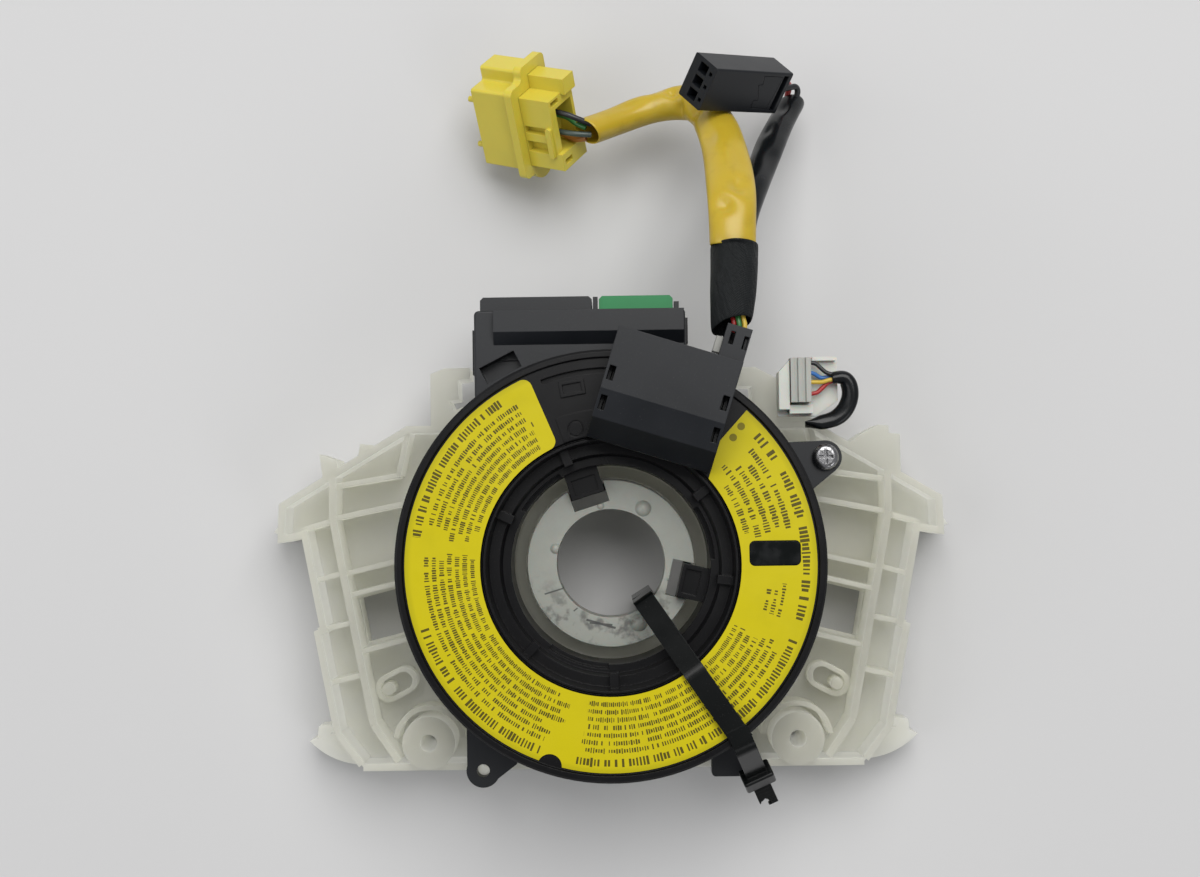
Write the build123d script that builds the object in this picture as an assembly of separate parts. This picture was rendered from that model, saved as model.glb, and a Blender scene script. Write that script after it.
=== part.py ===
from build123d import *

import math
import os

# Steering clock spring on its column bracket, lying on the bracket's back plane.
# Millimetres. Z is the steering axis, towards the driver. Y points up the dashboard.

# ---------------------------------------------------------------- clearances
RUNNING_GAP = 0.4        # between the turning rotor and the fixed stator, radially
LIFT_GAP = 0.6           # between the rotor and the stator, along the axis
FIT_GAP = 0.1            # between pieces that clip together
STRAP_GAP = 0.5          # between the transport strap and what turns under it

# ---------------------------------------------------------------- column bracket
PLATE_Z = 10.0           # underside of the bracket's plate
PLATE_THICK = 2.0
WALL_TOP_Z = 24.0
WALL_THICK = 1.8
RIB_THICK = 1.3
RIB_TOP_Z = 23.0
COLLAR_BORE_R = 22.0     # slips over the steering column's jacket
COLLAR_THICK = 2.6
COLLAR_TOP_Z = 22.0
SEAT_R = 46.0            # ring wall that carries the stator
SEAT_THICK = 2.0
TOP_EDGE_Y = 36.0
BOTTOM_EDGE_Y = -53.0
BOSS_X = 47.5
BOSS_Y = -45.8
BOSS_R = 6.8
BOSS_HOLE_R = 2.2
BOSS_TOP_Z = 26.0
BOSS_HOOD_R = 9.4
TIP_TOP_Z = 12.0         # the lower corners stop short of the other walls
PIN_X = 58.4
PIN_Y = -32.4
PIN_R = 1.6
SLOT_R = 3.6
SLOT_RUN = 4.2
SLOT_TILT = 28.0

WING_EDGE = [(-52.6, 36.0), (-86.0, 16.2), (-86.4, 6.0), (-80.1, 7.2), (-75.6, -16.2), (-77.2, -16.9)]
WING_FOOT = [(-72.2, -43.0), (-80.4, -46.6)]
WING_TOE_MID = (-75.6, -50.4)
WING_TOE_END = (-66.5, BOTTOM_EDGE_Y)
INNER_WALL = [(-72.0, 26.0), (-72.1, 12.2), (-69.9, 0.2), (-64.1, -30.3), (-61.9, -41.2), (-55.5, -50.6)]
FOOT_BRACE = [(-71.3, -43.2), (-65.0, -51.4)]
RIBS = [
    ((-71.4, 12.3), (-48.5, 16.9)), ((-80.0, 9.4), (-72.4, 11.6)),
    ((-76.4, -3.8), (-70.0, -2.0)), ((-69.6, -2.3), (-50.0, 2.2)),
    ((-68.0, -7.8), (-50.5, -3.5)), ((-76.2, -16.7), (-67.0, -14.8)),
    ((-65.2, -22.4), (-49.0, -18.2)), ((-72.6, -30.2), (-64.3, -28.3)),
    ((-71.9, 20.6), (-55.0, 23.2)), ((-55.0, 23.2), (-52.2, 35.0)),
]
WINDOW = [(-67.0, -9.2), (-50.5, -5.0), (-49.6, -16.8), (-64.5, -20.6)]
FOOT_TOOTH = [(-78.4, -46.2), (-78.0, -42.8), (-72.6, -42.4), (-72.6, -44.8)]
WING_SPIKE = [(-85.6, 14.2), (-89.6, 8.6), (-85.8, 7.4)]
WING_NUB = [(-65.4, 28.5), (-64.8, 31.6), (-61.4, 31.2), (-60.0, 29.5)]
LEFT_FIN = [(-74.4, 21.4), (-75.3, 29.0), (-71.0, 27.4), (-70.4, 24.6)]
RIGHT_FIN = [(61.4, 29.5), (65.8, 32.6), (69.9, 34.7), (72.5, 34.4), (72.5, 32.5), (75.4, 32.2), (75.4, 21.8)]
LEFT_POST = [(-46.3, 35.0), (-46.3, 49.4), (-42.6, 50.9), (-36.0, 50.9), (-36.0, 48.2), (-39.2, 47.8),
             (-39.0, 42.8), (-41.4, 42.4), (-40.2, 39.8), (-36.4, 41.4), (-33.0, 35.0)]
RIGHT_POST = [(35.8, 35.0), (37.3, 41.5), (37.3, 45.2), (33.4, 45.4), (33.4, 50.2), (38.2, 50.2),
              (43.8, 47.2), (43.8, 40.0), (48.4, 40.0), (54.6, 35.0)]

# ---------------------------------------------------------------- stator
STATOR_FLOOR_Z = 26.0
STATOR_FLOOR_THICK = 2.2
STATOR_OUTER_R = 51.3
STATOR_WALL = 1.7
STATOR_FLANGE_R = 53.0
STATOR_FLANGE_Z = 41.6
STATOR_FLANGE_THICK = 2.4
BACK_COVER_THICK = 1.8
EAR_THICK = 4.0
EAR_R = 4.3
EAR_HOLE_R = 1.65
SCREW_EAR_AT = (55.2, 26.3)
FREE_EAR_AT = (-33.2, -52.4)
SCREW_EAR_EDGE = [(43.0, 30.2), (54.4, 30.5), (57.9, 22.9), (51.7, 17.9), (46.0, 12.0)]
FREE_EAR_EDGE = [(-37.3, -51.0), (-37.3, -32.0), (-25.0, -42.0), (-24.6, -50.8), (-29.5, -54.5)]
LOWER_TAB = [(25.0, -43.0), (25.0, -54.6), (34.0, -54.6), (34.0, -37.0)]
BOX_LEFT_X = -33.3
BOX_RIGHT_X = 19.4
BOX_REAR_Y = 63.6
BOX_FRONT_Y = 41.0
BOX_TOP_Z = 44.0
BOX_FLOOR_Z = 26.0
BOX_SIDE = 1.0
BOX_ROOF = 5.0
BOX_CORNER_R = 1.2
BOX_EDGE_R = 0.5
POCKET_AT = (-26.8, 49.4)
POCKET_TURN = 27.0
SOCKET_PEGS_X = (-3.6, 16.8)
SOCKET_PEG_WIDTH = 1.2
PANEL_LEFT_X = -28.4
PANEL_FRONT_Y = 55.0
PANEL_RISE = 2.4
PANEL_INSET = 0.4
GUIDE_STRIP_LEFT = (1.0, 48.2, 59.5)      # stands out, from Y, to Y
GUIDE_STRIP_RIGHT = (0.9, 55.4, 62.0)
GUIDE_STRIP_Z = (29.0, 36.0)
SOCKET_REAR_Y = 67.5
SOCKET_FRONT_Y = 54.5
SOCKET_TOP_Z = 38.7
SOCKET_MOUTH_Z = 20.0
SOCKET_ROOF = 4.6
SOCKET_WALL = 1.3
BLACK_SOCKET_X = (-32.1, -3.9)
GREEN_SOCKET_X = (-2.1, 16.5)
SOCKET_PIN = 0.7
SOCKET_PIN_LENGTH = 7.5
PIN_PITCH_X = 4.2
PIN_PITCH_Y = 4.4

# ---------------------------------------------------------------- rotor
RIM_R = 53.0
RIM_WALL = 1.3
RIM_BOTTOM_Z = STATOR_FLANGE_Z + STATOR_FLANGE_THICK + LIFT_GAP
SEAT_Z = 50.0            # face that the label sticks to
RIM_LIP = 0.8
RIM_LIP_R = 50.9
RIM_CHAMFER = 0.6
DISC_THICK = 2.4
LABEL_INNER_R = 32.0
LABEL_OUTER_R = 50.5
LABEL_THICK = 0.25
HUB_LEDGE_Z = 43.0
HUB_LEDGE_THICK = 2.0
HUB_WALL_R = 30.6
SLEEVE_R = 32.4          # inner wall of the ribbon's chamber
SLEEVE_WALL = 1.6
HUB_THROAT_R = 25.0
THROAT_WALL = 2.0
THROAT_TOP_Z = 40.0
SNAP_LIP = 1.3
SNAP_LIP_TOP_Z = STATOR_FLOOR_Z - BACK_COVER_THICK - LIFT_GAP
HUB_RIB_AZIMUTHS = [37.6, 112.0, 154.9, 226.0, 271.0, 351.7]
THROAT_SLOTS = [(2.0, 33.0), (119.0, 148.0), (233.0, 268.0)]
HOOK_AZIMUTHS = [107.5, -13.7]
HOOK_WIDTH = 8.6
HOOK_INNER_R = 18.0
HOOK_TOP_Z = 36.6
HOOK_FOOT_Z = 26.4
HOOK_LEG_THICK = 2.0
HOOK_BARB = 0.9
BARE_END = 113.0         # the label runs from here round to LABEL_END
LABEL_END = 408.0
LABEL_CORNER_R = 2.2
NEUTRAL_WINDOW_AT = ((LABEL_INNER_R + LABEL_OUTER_R) / 2 - 1.05, 2.5)
NEUTRAL_WINDOW_SIZE = ((LABEL_OUTER_R - LABEL_INNER_R) * 0.66, 5.8)
BARE_STEP_R = 38.4       # raised step of the bare part, from the label's inner edge to here
BARE_STEP_AZIMUTHS = (62.0, 110.0)
BARE_STEP_RISE = 0.4
BARE_GROOVE_R = (47.3, 48.6)
BARE_GROOVE_AZIMUTHS = (79.0, 110.0)
BARE_FRAME_AT = (-8.9, 43.6)
EJECTOR_MARK_AT = (-8.1, 33.6)
EJECTOR_MARK_R = 2.0
LABEL_NOTCH_AT = (-15.6, -48.6)
LABEL_NOTCH_R = 3.0

# ---------------------------------------------------------------- cancel cam
CAM_R = 21.1
CAM_BORE_R = 13.75
CAM_TOP_Z = 33.0
CAM_THICK = 5.0
CAM_NECK_R = 17.2
CAM_NECK_LENGTH = 5.0
CAM_LOBE_R = 20.0
CAM_WINDOW_INNER_R = 15.2
HOOK_GAP = 0.35          # between a hook and the sides of its window in the cam
CAM_DOMES = [
    ((-14.0, 3.9), 1.3), ((8.4, 13.8), 2.0), ((6.9, -15.1), 2.2), ((-2.4, 14.6), 0.9), ((14.9, -4.1), 0.8),
]

# ---------------------------------------------------------------- connector block on the rotor
BLOCK_CORNER = (2.8, 57.7)
BLOCK_TURN = -17.5       # degrees about Z
BLOCK_WIDTH = 31.0
BLOCK_FLAT = 15.5
BLOCK_KNEE = 22.6
BLOCK_DEPTH = 27.4
BLOCK_FLOOR_TOP_Z = 52.2
BLOCK_TOP_Z = 63.0
BLOCK_WALL = 1.5
NECK_WIDTH = 6.2
NECK_X = BLOCK_WIDTH - NECK_WIDTH
NECK_LENGTH = 8.2
NECK_TOP_Z = 61.0
NECK_FLOOR_Z = 52.6
LATCH_SLOT = (1.6, 3.6)
LATCH_INSET = 0.7
LATCH_RIGHT_X = BLOCK_WIDTH - LATCH_INSET - LATCH_SLOT[0]
LATCH_SLOTS = [(LATCH_INSET, -11.5), (LATCH_INSET, -18.8), (LATCH_RIGHT_X, -10.7), (LATCH_RIGHT_X, -18.6)]
NECK_SLOTS = [(NECK_X + 1.4, 5.0), (NECK_X + 4.8, 4.6)]
NECK_SLOT = (1.1, 3.2)

# ---------------------------------------------------------------- ribbon cable
RIBBON_INNER_R = SLEEVE_R + 1.0
RIBBON_HALF_TURNS = 11
RIBBON_SLACK = 2.4       # between the outermost turn and the chamber's wall
RIBBON_PITCH = (STATOR_OUTER_R - STATOR_WALL - RIBBON_SLACK - RIBBON_INNER_R) / (RIBBON_HALF_TURNS / 2)
RIBBON_THICK = 0.4
RIBBON_WIDTH = 16.5

# ---------------------------------------------------------------- pigtails
YELLOW_SLEEVE_R = 4.6
BLACK_SLEEVE_R = 3.4
WIRE_R = 0.8
WIRE_GRIP = 0.8          # how far a wire's end runs into the sleeve or tape that holds it
TAPE_WALL = 0.9
TAPE_MOUTH_DEPTH = 3.6
TAPE_END_Y = 77.6
YELLOW_ROUTE = [
    (30.8, TAPE_END_Y, 54.6), (30.8, 84.0, 54.6), (31.0, 91.3, 50.8), (30.6, 101.6, 41.0), (29.1, 112.3, 29.0),
    (25.2, 120.3, 19.4), (18.5, 121.7, 15.7), (9.5, 119.3, 16.0), (2.2, 115.6, 19.5), (-4.8, 112.1, 25.0),
]
BLACK_ROUTE = [
    (33.5, TAPE_END_Y, 45.9), (33.5, 82.4, 45.9), (34.7, 87.4, 44.1), (36.8, 92.6, 40.4), (39.3, 98.6, 34.2),
    (43.4, 108.9, 24.0), (47.0, 116.1, 16.0), (50.0, 121.6, 10.5),
]
AIRBAG_PLUG_AT = (-35.1, 124.1, 23.2)
AIRBAG_PLUG_AXIS = (0.8416, -0.2480, 0.4793)
AIRBAG_PLUG_DEPTH_AXIS = (0.5208, 0.6012, -0.6065)
SHELL_LENGTH = 14.2
SHELL_WIDTH = 22.4
SHELL_DEPTH = 13.2
SHELL_KEY = 3.8
SHELL_KEY_DEPTH = 5.7
SHELL_WALL = 1.1
SHELL_FLANGE = 1.8
SHELL_FLANGE_THICK = 2.3
INSERT_START = 4.2
INSERT_END = 25.0
WIRE_POCKET_DEPTH = 6.0
AIRBAG_WIRES_AT = {"black": (6.2, 5.4), "green": (9.2, 9.0), "grey": (12.0, 5.4), "orange": (14.8, 9.0)}
SWITCH_PLUG_AT = (28.4, 122.9, 46.0)
SWITCH_PLUG_AXIS = (0.7302, 0.1104, -0.6738)
SWITCH_PLUG_DEPTH_AXIS = (-0.5659, 0.6501, -0.5074)
SWITCH_PLUG_SIZE = (28.6, 12.0, 8.7)
SWITCH_WIRES_AT = {"red": (4.0, 5.0), "black": (7.8, 5.0)}
SWITCH_WIRE_BEND = (50.9, 126.4, 12.4)
RETAINER_DEPTH = 1.2
RETAINER_EDGE = [(22.0, 1.0), (18.0, 1.2), (18.8, 3.5), (17.3, 3.8), (19.6, 8.1), (18.0, 8.3), (18.3, 10.4),
                 (24.4, 10.6), (25.2, 1.2)]

# ---------------------------------------------------------------- sensor lead
SENSOR_BASE = [(43.6, 37.0), (43.6, 48.2), (47.4, 52.2), (59.2, 52.2), (59.2, 41.0), (53.4, 37.0)]
SENSOR_BASE_Z = 24.0
SENSOR_BASE_THICK = 2.0
SENSOR_REAR_RISE = 5.0
SENSOR_RAIL_RISE = 3.4
SENSOR_FENCE_RISE = 1.8
SENSOR_PLUG_X = (46.6, 51.8)
SENSOR_PLUG_Y = (40.4, 51.8)
SENSOR_PLUG_TOP_Z = 32.0
SENSOR_SLEEVE_R = 2.1
SENSOR_SLEEVE_ROUTE = [
    (57.4, 46.6, 28.6), (60.2, 47.2, 28.8), (62.0, 45.0, 28.8), (62.2, 41.3, 28.8),
    (60.2, 37.4, 28.6), (56.4, 35.3, 28.2), (50.4, 34.8, 27.8),
]
SENSOR_WIRE_R = 0.55
SENSOR_WIRE_Z = 28.6
SENSOR_WIRE_FROM_Y = {"black": 50.6, "blue": 48.2, "yellow": 45.6, "red": 42.6}
SENSOR_WIRE_TO = {"black": (0.85, 0.5), "blue": (0.55, -0.75), "yellow": (-0.55, 0.75), "red": (-0.85, -0.5)}

# ---------------------------------------------------------------- transport strap
STRAP_AT = (8.0, -8.7)
STRAP_HEADING = -55.4    # over the label, degrees about Z
STRAP_RIM_REACH = 40.0   # from the bore to where it leaves the rim
STRAP_DROP_HEADING = -66.2
STRAP_UNDER_HEADING = -58.2
STRAP_UNDER_REACH = 55.2
STRAP_WIDTH = 5.4
STRAP_THICK = 1.3
STRAP_LOW_Z = 4.0
STRAP_HEAD_AT = (13.4, 35.0)
STRAP_HEAD_SIZE = (5.4, 4.8, 8.0)
STRAP_TAIL_END = (21.8, 29.4)
STRAP_TAIL_WIDTH = 4.6
STRAP_TAIL_PITCH = 1.1


def polar(radius, azimuth):
    """Plan point at a radius and an azimuth in degrees."""
    return (radius * math.cos(math.radians(azimuth)), radius * math.sin(math.radians(azimuth)))


def slab(points, low, high):
    """Straight-sided plate over a plan outline."""
    return Pos(0, 0, low) * extrude(Polygon(*points, align=None), high - low, dir=(0, 0, 1))


def block(low, high):
    """Box between two corners."""
    size = [b - a for a, b in zip(low, high)]
    return Pos(*low) * Box(*size, align=(Align.MIN, Align.MIN, Align.MIN))


def post(at, radius, low, high):
    """Upright cylinder."""
    return Pos(at[0], at[1], low) * Cylinder(radius, high - low, align=(Align.CENTER, Align.CENTER, Align.MIN))


def ring(outer, inner, low, high):
    """Upright ring about the steering axis."""
    return post((0, 0), outer, low, high) - post((0, 0), inner, low - 1, high + 1)


def sector(outer, inner, start, stop, low, high):
    """Part of a ring between two azimuths in degrees."""
    middle = (start + stop) / 2
    inside = ThreePointArc(polar(inner, start), polar(inner, middle), polar(inner, stop))
    outside = ThreePointArc(polar(outer, start), polar(outer, middle), polar(outer, stop))
    ends = [Line(inside @ 0, outside @ 0), Line(inside @ 1, outside @ 1)]
    face = make_face([inside.edge(), outside.edge(), ends[0].edge(), ends[1].edge()])
    return Pos(0, 0, low) * extrude(face, high - low, dir=(0, 0, 1))


def wall(start, stop, thick, low, high):
    """Upright wall between two plan points."""
    run = math.dist(start, stop)
    heading = math.degrees(math.atan2(stop[1] - start[1], stop[0] - start[0]))
    middle = ((start[0] + stop[0]) / 2, (start[1] + stop[1]) / 2)
    at = Pos(middle[0], middle[1], low) * Rot(0, 0, heading)
    return at * Box(run, thick, high - low, align=(Align.CENTER, Align.CENTER, Align.MIN))


def turned(points):
    """Solid turned about the steering axis from radius and height points."""
    return revolve(make_face(Plane.XZ * Polyline(*points, close=True)), Axis.Z, 360)


def mirrored(points):
    """Plan points of the other wing, in the same sense of rotation."""
    return [(-x, y) for x, y in reversed(points)]


def tube(route, radius, ease=0.45):
    """Round tube along straight runs joined by tangent arcs. Prints its length and its arcs' radii."""
    points = [Vector(*point) for point in route]
    radii = []
    for before, corner, after in zip(points, points[1:], points[2:]):
        turn = math.radians((corner - before).get_angle(after - corner))
        shorter = min((corner - before).length, (after - corner).length)
        radii.append(ease * shorter / math.tan(turn / 2))
    path = FilletPolyline(*points, radius=radii)
    print("tube", round(path.length, 1), "mm long, arcs", [round(r, 1) for r in radii])
    section = Plane(origin=path @ 0, z_dir=path % 0) * Circle(radius)
    return sweep(section, path=path)


def rod(start, stop, radius):
    """Straight round wire between two points."""
    run = Vector(*stop) - Vector(*start)
    return Plane(origin=Vector(*start), z_dir=run) * extrude(Circle(radius), run.length)


# ---------------------------------------------------------------- planes of the turned pieces
BLOCK_PLANE = Plane(origin=(BLOCK_CORNER[0], BLOCK_CORNER[1], 0), x_dir=(*polar(1, BLOCK_TURN), 0), z_dir=(0, 0, 1))
NECK_MOUTH = BLOCK_PLANE.from_local_coords(Vector(NECK_X + NECK_WIDTH / 2, NECK_LENGTH, 57))
AIRBAG_PLANE = Plane(origin=AIRBAG_PLUG_AT, x_dir=AIRBAG_PLUG_AXIS, z_dir=AIRBAG_PLUG_DEPTH_AXIS)
SWITCH_PLANE = Plane(origin=SWITCH_PLUG_AT, x_dir=SWITCH_PLUG_AXIS, z_dir=SWITCH_PLUG_DEPTH_AXIS)


def upright_plane(at, heading):
    """Upright plane through a plan point: its X runs along a heading and its Y is the height."""
    return Plane(origin=(at[0], at[1], 0), x_dir=(*polar(1, heading), 0), z_dir=(*polar(1, heading - 90), 0))


STRAP_PLANE = upright_plane(STRAP_AT, STRAP_HEADING)
UNDER_PLANE = upright_plane(STRAP_AT, STRAP_UNDER_HEADING)
STRAP_RIM_RUN = polar(STRAP_RIM_REACH, STRAP_HEADING)
DROP_PLANE = upright_plane((STRAP_AT[0] + STRAP_RIM_RUN[0], STRAP_AT[1] + STRAP_RIM_RUN[1]), STRAP_DROP_HEADING)


# ---------------------------------------------------------------- bracket
def wing_outline(side):
    """Outline of the bracket's half on one side, from the middle of its top edge to that of its bottom."""
    points = [(0, TOP_EDGE_Y)] + WING_EDGE + WING_FOOT
    straight = Polyline(*[(side * x, y) for x, y in points])
    toe_mid = (side * WING_TOE_MID[0], WING_TOE_MID[1])
    toe_end = (side * WING_TOE_END[0], WING_TOE_END[1])
    toe = ThreePointArc(straight @ 1, toe_mid, toe_end)
    bottom = Line(toe @ 1, (0, BOTTOM_EDGE_Y))
    middle = Line(bottom @ 1, straight @ 0)
    return make_face(straight.edges() + [toe.edge(), bottom.edge(), middle.edge()])


def wing_ribs(side):
    """Ladder of ribs, inner wall and foot brace of one wing, above and below the plate."""
    low = 2.0
    parts = [wall((side * a[0], a[1]), (side * b[0], b[1]), RIB_THICK, low, RIB_TOP_Z) for a, b in RIBS]
    for line in (INNER_WALL, FOOT_BRACE):
        for a, b in zip(line, line[1:]):
            parts.append(wall((side * a[0], a[1]), (side * b[0], b[1]), WALL_THICK, low, WALL_TOP_Z))
    return parts


def wing_boss(side):
    """Screw boss, its hood and the locating pin in its long recess."""
    at = (side * BOSS_X, BOSS_Y)
    parts = [post(at, BOSS_R, 0, BOSS_TOP_Z)]
    hood = Pos(*at, 0) * ring(BOSS_HOOD_R, BOSS_HOOD_R - RIB_THICK, PLATE_Z, RIB_TOP_Z)
    parts.append(hood & block((at[0] - 12, at[1] + 1, 0), (at[0] + 12, at[1] + 12, 30)))
    parts.append(post((side * PIN_X, PIN_Y), PIN_R, PLATE_Z, 20))
    recess = SlotCenterToCenter(SLOT_RUN, 2 * SLOT_R) - SlotCenterToCenter(SLOT_RUN, 2 * SLOT_R - 2 * RIB_THICK)
    centre = Pos(side * (PIN_X - SLOT_RUN / 2 * math.cos(math.radians(SLOT_TILT))), PIN_Y + 1, PLATE_Z)
    parts.append(centre * Rot(0, 0, side * -SLOT_TILT) * extrude(recess, 8))
    return parts


def build_bracket():
    """One moulding: plate, walls, ladders of ribs, column collar, stator seat, bosses and corner posts."""
    outline = wing_outline(-1) + wing_outline(1)
    inside = offset(outline, -WALL_THICK, kind=Kind.INTERSECTION)
    up = (0, 0, 1)
    shell = extrude(outline, WALL_TOP_Z, dir=up) - extrude(inside, WALL_TOP_Z, dir=up)
    plate = Pos(0, 0, PLATE_Z) * extrude(outline, PLATE_THICK, dir=up)
    for side in (-1, 1):
        toe = [(side * x, y) for x, y in [(-90, -43.4), (-71.6, -43.4), (-64.6, -52.0), (-64.6, -60), (-90, -60)]]
        shell = shell - slab(toe, TIP_TOP_Z, 40)
    body = plate + shell
    for side in (-1, 1):
        for piece in wing_ribs(side) + wing_boss(side):
            body = body + piece
    for tooth in (WING_SPIKE, FOOT_TOOTH):
        body = body + slab(tooth, 2, TIP_TOP_Z) + slab(mirrored(tooth), 2, TIP_TOP_Z)
    body = body + slab(WING_NUB, PLATE_Z, WALL_TOP_Z - 1) + slab(LEFT_FIN, PLATE_Z, WALL_TOP_Z)
    body = body + slab(RIGHT_FIN, PLATE_Z, WALL_TOP_Z)
    body = body + slab(LEFT_POST, PLATE_Z, WALL_TOP_Z) + slab(RIGHT_POST, PLATE_Z, WALL_TOP_Z - 1)
    body = body + ring(SEAT_R + SEAT_THICK, SEAT_R, PLATE_Z, STATOR_FLOOR_Z - BACK_COVER_THICK)
    body = body - post((0, 0), COLLAR_BORE_R + COLLAR_THICK, PLATE_Z - 1, COLLAR_TOP_Z)
    body = body + ring(COLLAR_BORE_R + COLLAR_THICK, COLLAR_BORE_R, 0, COLLAR_TOP_Z)
    body = body + post(SCREW_EAR_AT, EAR_R, 0, STATOR_FLOOR_Z)
    body = body + post(FREE_EAR_AT, EAR_R - 1, 0, STATOR_FLOOR_Z)
    for at in (SCREW_EAR_AT, FREE_EAR_AT):
        body = body - post(at, EAR_HOLE_R, 12, STATOR_FLOOR_Z + 1)
    for side in (-1, 1):
        body = body - post((side * BOSS_X, BOSS_Y), BOSS_HOLE_R, -1, BOSS_TOP_Z + 1)
        body = body - slab([(side * x, y) for x, y in WINDOW], PLATE_Z - 1, PLATE_Z + PLATE_THICK + 1)
    strap_way = UNDER_PLANE * Pos(29.5, STRAP_LOW_Z - 1.2, 0) * Box(62, STRAP_LOW_Z * 2 + 0.4, STRAP_WIDTH + 2)
    return body - strap_way


# ---------------------------------------------------------------- stator
def build_stator():
    """Fixed cup with its fastening ears and the roof and sides of the connector box."""
    inner = STATOR_OUTER_R - STATOR_WALL
    hole = HUB_THROAT_R + THROAT_WALL + RUNNING_GAP
    floor_top = STATOR_FLOOR_Z + STATOR_FLOOR_THICK
    wall_top = SEAT_Z - DISC_THICK - LIFT_GAP
    cup = turned([
        (hole, STATOR_FLOOR_Z), (STATOR_OUTER_R, STATOR_FLOOR_Z), (STATOR_OUTER_R, STATOR_FLANGE_Z),
        (STATOR_FLANGE_R, STATOR_FLANGE_Z), (STATOR_FLANGE_R, STATOR_FLANGE_Z + STATOR_FLANGE_THICK),
        (STATOR_OUTER_R, STATOR_FLANGE_Z + STATOR_FLANGE_THICK), (STATOR_OUTER_R, wall_top), (inner, wall_top),
        (inner, floor_top), (hole, floor_top),
    ])
    ear_top = STATOR_FLOOR_Z + EAR_THICK
    body = cup
    for at, edge in ((SCREW_EAR_AT, SCREW_EAR_EDGE), (FREE_EAR_AT, FREE_EAR_EDGE)):
        body = body + post(at, EAR_R, STATOR_FLOOR_Z, ear_top) + slab(edge, STATOR_FLOOR_Z, ear_top)
    tab = slab(LOWER_TAB, STATOR_FLOOR_Z, ear_top)
    body = body + fillet(tab.edges().filter_by(Axis.Z), 1.0)
    box = block((BOX_LEFT_X, BOX_FRONT_Y, BOX_FLOOR_Z), (BOX_RIGHT_X, BOX_REAR_Y, BOX_TOP_Z))
    box = fillet(box.edges().filter_by(Axis.Z), BOX_CORNER_R)
    box = fillet(box.edges().group_by(Axis.Z)[-1], BOX_EDGE_R)
    panel = block(
        (PANEL_LEFT_X, PANEL_FRONT_Y, BOX_TOP_Z - 1),
        (BOX_RIGHT_X - PANEL_INSET, BOX_REAR_Y - PANEL_INSET / 2, BOX_TOP_Z + PANEL_RISE),
    )
    front = panel.edges().filter_by(Axis.X).group_by(Axis.Z)[-1].sort_by(Axis.Y)[0]
    panel = chamfer(front, PANEL_RISE - 0.1, 3.0)
    hollow = block(
        (BOX_LEFT_X + BOX_SIDE, STATOR_OUTER_R, BOX_FLOOR_Z - 1),
        (BOX_RIGHT_X - BOX_SIDE, BOX_REAR_Y + 1, BOX_TOP_Z - BOX_ROOF),
    )
    body = body + box + panel - hollow
    body = body - post((0, 0), inner, floor_top, 60)
    body = body - ring(60, STATOR_OUTER_R, RIM_BOTTOM_Z - LIFT_GAP, RIM_BOTTOM_Z + 1).intersect(
        block((-60, 0, 0), (60, STATOR_FLANGE_R, 60)))
    pocket = Pos(*POCKET_AT, BOX_TOP_Z - 2.5) * Rot(0, 0, POCKET_TURN) * Box(9.6, 4.4, 5)
    roof = BOX_TOP_Z - BOX_ROOF
    for x, rear in zip(SOCKET_PEGS_X, (67.2, 65.8)):
        body = body + block((x, BOX_REAR_Y - 2, roof - 2.4), (x + SOCKET_PEG_WIDTH, rear, roof + 0.6))
    out, front, rear = GUIDE_STRIP_LEFT
    left_strip = block((BOX_LEFT_X - out, front, GUIDE_STRIP_Z[0]), (BOX_LEFT_X, rear, GUIDE_STRIP_Z[1]))
    out, front, rear = GUIDE_STRIP_RIGHT
    right_strip = block((BOX_RIGHT_X, front, GUIDE_STRIP_Z[0]), (BOX_RIGHT_X + out, rear, GUIDE_STRIP_Z[1]))
    body = body - pocket + left_strip + right_strip
    for at in (SCREW_EAR_AT, FREE_EAR_AT):
        body = body - post(at, EAR_HOLE_R, STATOR_FLOOR_Z - 1, ear_top + 1)
    return body


def build_back_cover():
    """Flat ring snapped under the stator's floor."""
    hole = HUB_THROAT_R + THROAT_WALL + SNAP_LIP + RUNNING_GAP
    cover = ring(SEAT_R + SEAT_THICK + 1.5, hole, STATOR_FLOOR_Z - BACK_COVER_THICK, STATOR_FLOOR_Z)
    for azimuth in range(0, 360, 60):
        at = polar(SEAT_R - 6, azimuth + 12)
        cover = cover - post(at, 2.0, STATOR_FLOOR_Z - BACK_COVER_THICK - 1, STATOR_FLOOR_Z - 1)
    return cover


def build_socket(span, keys):
    """Socket housing under the box, with its mouth down and key ribs on its rear wall."""
    shell = block((span[0], SOCKET_FRONT_Y, SOCKET_MOUTH_Z), (span[1], SOCKET_REAR_Y, SOCKET_TOP_Z))
    shell = chamfer(shell.edges().filter_by(Axis.Z), 0.8)
    hollow = block(
        (span[0] + SOCKET_WALL, SOCKET_FRONT_Y + SOCKET_WALL, SOCKET_MOUTH_Z - 1),
        (span[1] - SOCKET_WALL, SOCKET_REAR_Y - SOCKET_WALL, SOCKET_TOP_Z - SOCKET_ROOF),
    )
    shell = shell - hollow
    for key in keys:
        rib = block(
            (key - 0.6, SOCKET_FRONT_Y, SOCKET_MOUTH_Z + 1),
            (key + 0.6, SOCKET_FRONT_Y + 2.2, SOCKET_TOP_Z - 1),
        )
        shell = shell + rib
    return shell


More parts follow.
